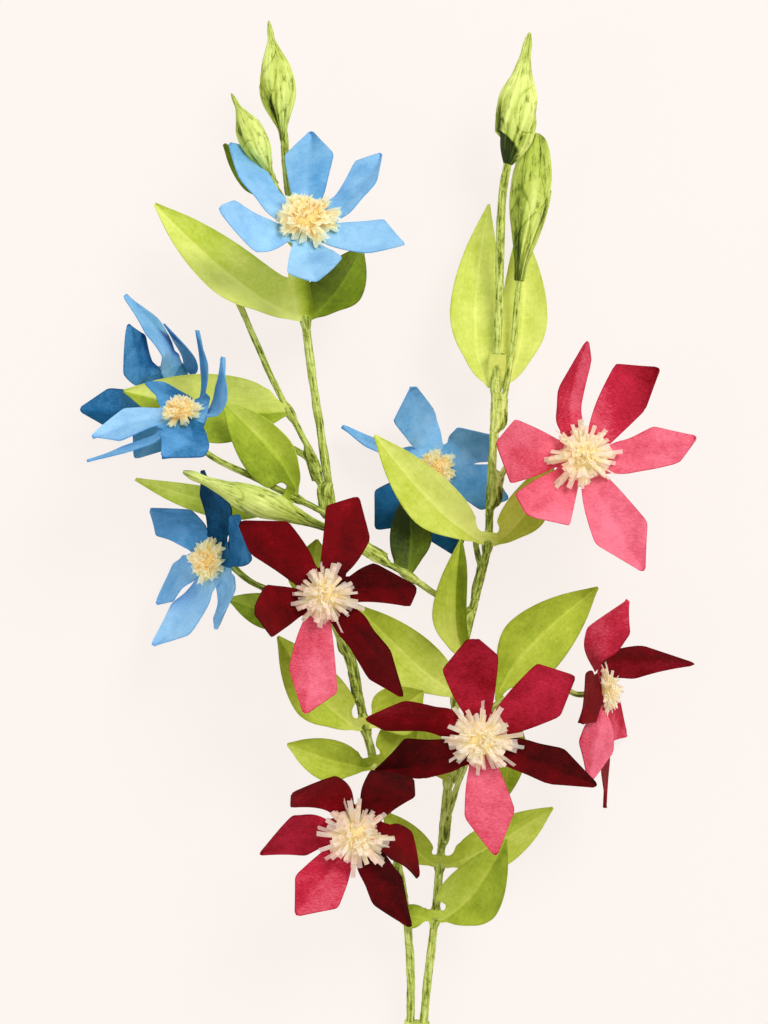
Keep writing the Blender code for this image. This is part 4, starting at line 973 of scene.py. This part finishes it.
# Single leaves: the same, with one leaf
singleLeaves = {
    "leaf_1": ("fork_stem", (-31, 33, 29), 1, (-86, 40, 29), 1.15, 20, 0, 0.9, 0.5),
    "leaf_2": ("bud_3_stem", (8, -21, 36), -1, (8, 7, 20), 0.7, 20, 0, 0.02, 0.1),
    "leaf_3": ("right_main_stem", (25, -48, 29), 1, (25, -9, 46), 0.8, 25, 0, 0.42, 0.72, 0.45, 1.0),
    "leaf_4": ("right_main_stem", (24, -61, 28), 1, (-9, -31, 22), 0.9, 20, 0, 0.7, 0.75),
    "leaf_5": ("right_main_stem", (21.5, -88, 26), 1, (12, -66, 32), 0.6, 25, 0, 0.7, 0.6),
    "leaf_6": ("bud_2_stem", (-34, 103.5, 30), -1, (-53, 122, 24), 0.5, 20, 0, 0.35, 0.35),
}
leafLook = {
    "rows": 44, "columns": 21, "cup": 0.05, "wave": 0.6, "turnEnd": 0.3, "cupLift": 0.45, "shade": 0.3,
    "rimShade": 0.08, "lowShare": 0.45, "lowEnd": 0.55, "highShare": 0.8, "highEnd": 0.3, "cupFall": 1.7,
    "tallCup": 6.0, "lowest": 0.1, "early": 0.2, "earlyPlace": 0.13, "earlySpread": 0.08,
    "profile": [(0.0, 0.0), (0.08, 0.14), (0.17, 0.46), (0.31, 0.84), (0.48, 1.0), (0.66, 0.9), (0.84, 0.54),
                (1.0, 0.0)],
}


# One leaf from neck to tip: the midrib is a parabola, the width follows the lens profile, and each
# half rises from the fold and cups a little; near the neck it lies flat and turns into the stem's line.
# The half towards the stem's foot widens later, so that a pair's lower edges meet in a V; unless the
# sheet cups up the stem, the other half does so too.
def leafRows(draw, cup, start, outward, neckWay, tip, widthShare, fold, roll, toneOne, toneTwo,
             one=1.0, other=1.0):
    tip = np.asarray(tip, float)
    length = np.linalg.norm(tip - start)
    axis = (tip - start) / length
    widthWay = squareTo(np.cross(axis, (0.0, 0.0, 1.0)) if abs(axis[2]) < 0.95 else neckWay, axis)
    if np.dot(widthWay, neckWay) < 0:
        widthWay = -widthWay
    widthWay = turned(widthWay, axis, math.radians(roll))
    upWay = np.cross(axis, widthWay)
    if upWay[2] < 0:
        upWay = -upWay
    share = np.linspace(0, 1, leafLook["rows"])[:, None, None]
    bend = start + (outward * sizes["leafBow"] + axis * sizes["leafLead"]) * length
    spine = mix(mix(start, bend, share), mix(bend, tip, share), share)
    places, swells = zip(*leafLook["profile"])
    narrow = mix(sizes["leafNeck"], sizes["leafTip"], share)
    swell = smoothThrough(places, swells, share)
    half = mix(narrow, sizes["leafWidth"] * widthShare, swell) / 2
    turn = ease(share / leafLook["turnEnd"])
    sideWay = unit(mix(neckWay, widthWay, turn))
    v = np.linspace(1, -1, leafLook["columns"])[None, :, None]
    angle = math.radians(fold)
    fromFold = np.sqrt(v**2 + 0.004) - 0.06
    lift = half * math.sin(angle) * turn * fromFold - leafLook["cup"] * half * np.sin(math.pi * np.abs(v)) * turn
    wave = leafLook["wave"] * np.sin(draw.uniform(4, 7) * share + 1.5 * v + draw.uniform(0, 6)) * ease(share * 3)
    early = leafLook["early"] * np.exp(-((share - leafLook["earlyPlace"]) / leafLook["earlySpread"]) ** 2)
    part = mix(1.0, np.where(v > 0, one, other), swell)
    low = mix(leafLook["lowShare"], 1.0, ease(share / leafLook["lowEnd"]))
    high = 1.0 if cup > leafLook["tallCup"] else mix(leafLook["highShare"], 1.0, ease(share / leafLook["highEnd"]))
    reach = half * part * np.where(v > 0, high, low)
    reach = reach + np.where(v > 0, early * sizes["leafWidth"] * widthShare / 2, 0.0)
    cupped = np.where(v > 0, cup * (1 - share) ** leafLook["cupFall"], 0.0)
    reach = (reach**4 + cupped**4) ** 0.25
    raised = np.where(v > 0, leafLook["cupLift"] * cupped * np.abs(v) * (1 - turn), 0.0)
    points = (spine + sideWay * reach * v * mix(1.0, math.cos(angle), turn)
              + upWay * (lift + wave * v**2) + (0.0, 0.0, 1.0) * raised)
    points[..., 2] = np.maximum(points[..., 2], leafLook["lowest"] + sizes["sheetWall"] / 2)
    # Painted light and shade: the two halves' tones stand for light and shade on either side of the fold, and the
    # edges are darkened with painted shade
    tone = mix(toneTwo, toneOne, ease((v[..., 0] + 0.05) / 0.1)) + 0.12 * np.exp(-(v[..., 0] / 0.04) ** 2)
    tone = (tone + leafLook["shade"] * draw.uniform(-1, 1) * (share[..., 0] - 0.5)
            - leafLook["rimShade"] * ease((np.abs(v[..., 0]) - 0.9) / 0.1))
    return points, share[..., 0] * length, v[..., 0] * half[..., 0], tone


# The seat of a leaf on its stem: a point one clearance in front of it or behind it, and its directions
def leafSeat(carrier, place, layer):
    route, radius = stems[carrier]
    index, way = nearestOn(route, place)
    front = squareTo((0.0, 0.0, 1.0), way)
    seat = route[index] + front * layer * (radius + sizes["clearance"] + sizes["paper"] / 2)
    return seat, way, np.cross(way, front), radius


# A few turns of tape round the stem where the leaf's neck is bound on
def neckTapePart(carrier, place, layer):
    route, radius = stems[carrier]
    index = nearestOn(route, place)[0]
    rows = np.arange(max(0, index - 4), min(len(route), index + 5))
    share = np.linspace(-1, 1, len(rows))[:, None]
    closed = 1 - share**2
    way = unit(np.gradient(route[rows], axis=0))
    front = squareTo((0.0, 0.0, 1.0), way)
    centre = route[rows] + front * layer * 0.45 * closed
    angle = np.linspace(0, math.tau, stemLook["sides"], endpoint=False)[None]
    turn = (np.arange(len(rows))[:, None] / 2.0 + angle / math.tau) % 1.0
    reach = radius * 0.88 + (0.12 * radius + 0.6 + 0.12 * turn) * closed
    return tubePart(centre, reach, rows.astype(float))


def makeLeafPair(name, carrier, place, layer, cup, *leaves):
    draw = np.random.default_rng(sum(map(ord, name)))
    seat, way, aside, radius = leafSeat(carrier, place, layer)
    tips = [np.asarray(leaf[0], float) - seat for leaf in leaves]
    side = 1 if np.dot(tips[0], aside) > np.dot(tips[1], aside) else -1
    halves = []
    for outward, leaf in zip((aside * side, -aside * side), leaves):
        start = seat + outward * (radius + sizes["leafNeck"] / 4)
        halves.append(leafRows(draw, cup, start, outward, way, *leaf))
    first, second = halves
    points = np.concatenate([first[0][::-1], second[0]])
    lengthwise = np.concatenate([-first[1][::-1], second[1]])
    crosswise = np.concatenate([first[2][::-1], second[2]])
    tone = np.concatenate([first[3][::-1], second[3]])
    part = gridPart(points, lengthwise, crosswise, {"tone": tone})
    makePiece(name + "_folded", [part], finishes["leaf"], [name], sizes["sheetWall"], 38)
    makePiece(name + "_tape", [neckTapePart(carrier, place, layer)], finishes["stem_wrap"])


def makeSingleLeaf(name, carrier, place, layer, *leaf):
    draw = np.random.default_rng(sum(map(ord, name)))
    seat, way, aside, radius = leafSeat(carrier, place, layer)
    side = 1 if np.dot(np.asarray(leaf[0], float) - seat, aside) > 0 else -1
    start = seat - aside * side * radius
    points, lengthwise, crosswise, tone = leafRows(draw, 0.0, start, aside * side, way, *leaf)
    part = gridPart(points, lengthwise, crosswise, {"tone": tone})
    makePiece(name + "_folded", [part], finishes["leaf"], [name], sizes["sheetWall"], 38)
    makePiece(name + "_tape", [neckTapePart(carrier, place, layer)], finishes["stem_wrap"])


for leafName, leafPair in leafPairs.items():
    makeLeafPair(leafName, *leafPair)
for leafName, singleLeaf in singleLeaves.items():
    makeSingleLeaf(leafName, *singleLeaf)
print("leaves made:", 2 * len(leafPairs) + len(singleLeaves))


# The tape round both main stems where a hand holds them: an oval ribbon sleeve with a step each turn
def makeBinding():
    left, radius = stems["left_main_stem"]
    right = stems["right_main_stem"][0]
    y = right[0][1] + sizes["tapeStart"] + np.linspace(0, sizes["tapeLength"], 90)
    middles = []
    for route in (left, right):
        middles.append(np.stack([np.interp(y, route[:, 1], route[:, axis]) for axis in range(3)], axis=1))
    centre = (middles[0] + middles[1]) / 2
    apart = np.linalg.norm(middles[1] - middles[0], axis=1)[:, None] / 2
    angle = np.linspace(0, math.tau, 40, endpoint=False)[None]
    outer = radius + sizes["clearance"] + sizes["tapeWall"]
    flat = np.clip(np.cos(angle) * (apart + outer), -apart, apart)
    cosine = np.cos(angle)
    reach = np.abs(flat * cosine) + np.sqrt(np.maximum(outer**2 - (flat * np.sin(angle)) ** 2, 0.01))
    turn = ((y - y[0])[:, None] / 6.0 + angle / math.tau) % 1.0
    reach = reach - 0.14 - 0.16 * turn
    makePiece("binding_tape_wound", [tubePart(centre, reach, y - y[0], {}, np.array([1.0, 0.0, 0.0]))],
              finishes["binding"], ["binding_tape"])


makeBinding()
print("binding made")

# Floor, backdrop colour, lamps and camera
stageLook = {
    "paper": (253, 245, 240), "floorSize": 6.0, "floorDrop": 0.3, "shownShare": 0.88,
    "skyLight": 0.66, "keyLight": 20.5, "fillLight": 5.0,
}


def makeFloor():
    half = stageLook["floorSize"] / 2
    mesh = bpy.data.meshes.new("floor")
    z = -stageLook["floorDrop"] * mm
    corners = [(-half, -half, z), (half, -half, z), (half, half, z), (-half, half, z)]
    mesh.from_pydata(corners, [], [(0, 1, 2, 3)])
    floor = bpy.data.objects.new("floor", mesh)
    bpy.context.scene.collection.objects.link(floor)
    recipe = Paper("floorPaper", 0.95, 0.0)
    recipe.shader.inputs["Base Color"].default_value = paint(stageLook["paper"])
    glow = recipe.node("ShaderNodeEmission", {}, {"Color": paint(stageLook["paper"]), "Strength": 1.0})
    seen = recipe.pictureRays() * stageLook["shownShare"]
    both = recipe.node("ShaderNodeMixShader", {}, {0: seen, 1: Flow(recipe, recipe.shader.outputs[0]), 2: glow})
    recipe.tree.links.new(both.socket, recipe.tree.nodes["Material Output"].inputs["Surface"])
    mesh.materials.append(recipe.material)


def makeLamp(name, place, size, power):
    light = bpy.data.lights.new(name, "AREA")
    light.shape = "DISK"
    light.size = size
    light.energy = power
    lamp = bpy.data.objects.new(name, light)
    lamp.location = place
    lamp.rotation_euler = (-lamp.location).to_track_quat("-Z", "Y").to_euler()
    bpy.context.scene.collection.objects.link(lamp)


def makeWorld():
    world = bpy.data.worlds.new("studio")
    world.use_nodes = True
    bpy.context.scene.world = world
    world.node_tree.nodes.clear()
    recipe = Recipe(world.node_tree)
    backdrop = recipe.node("ShaderNodeBackground", {}, {"Color": paint(stageLook["paper"])})
    light = recipe.node("ShaderNodeBackground", {}, {"Strength": stageLook["skyLight"]})
    both = recipe.node("ShaderNodeMixShader", {}, {0: recipe.pictureRays(), 1: light, 2: backdrop})
    out = world.node_tree.nodes.new("ShaderNodeOutputWorld")
    world.node_tree.links.new(both.socket, out.inputs["Surface"])


# The camera looks straight down from the height at which the photograph was fitted, 768 by 1024 pixels
cameraLook = {"height": 1250.0, "focalPixels": 3697.0, "picturePixels": 1024.0, "sensor": 36.0}


def makeCamera():
    lens = bpy.data.cameras.new("camera")
    lens.sensor_fit = "VERTICAL"
    lens.sensor_height = cameraLook["sensor"]
    lens.lens = cameraLook["focalPixels"] / cameraLook["picturePixels"] * cameraLook["sensor"]
    lens.clip_end = 20.0
    camera = bpy.data.objects.new("camera", lens)
    camera.location = (np.array([0.0, 0.0, cameraLook["height"]]) + shift) * mm
    bpy.context.scene.collection.objects.link(camera)
    bpy.context.scene.camera = camera


makeFloor()
makeLamp("keyLamp", (0.7, 0.9, 1.5), 0.9, stageLook["keyLight"])
makeLamp("fillLamp", (-1.1, -0.5, 1.2), 1.2, stageLook["fillLight"])
makeWorld()
makeCamera()
bpy.context.scene.view_settings.view_transform = "Standard"
print("stage made")
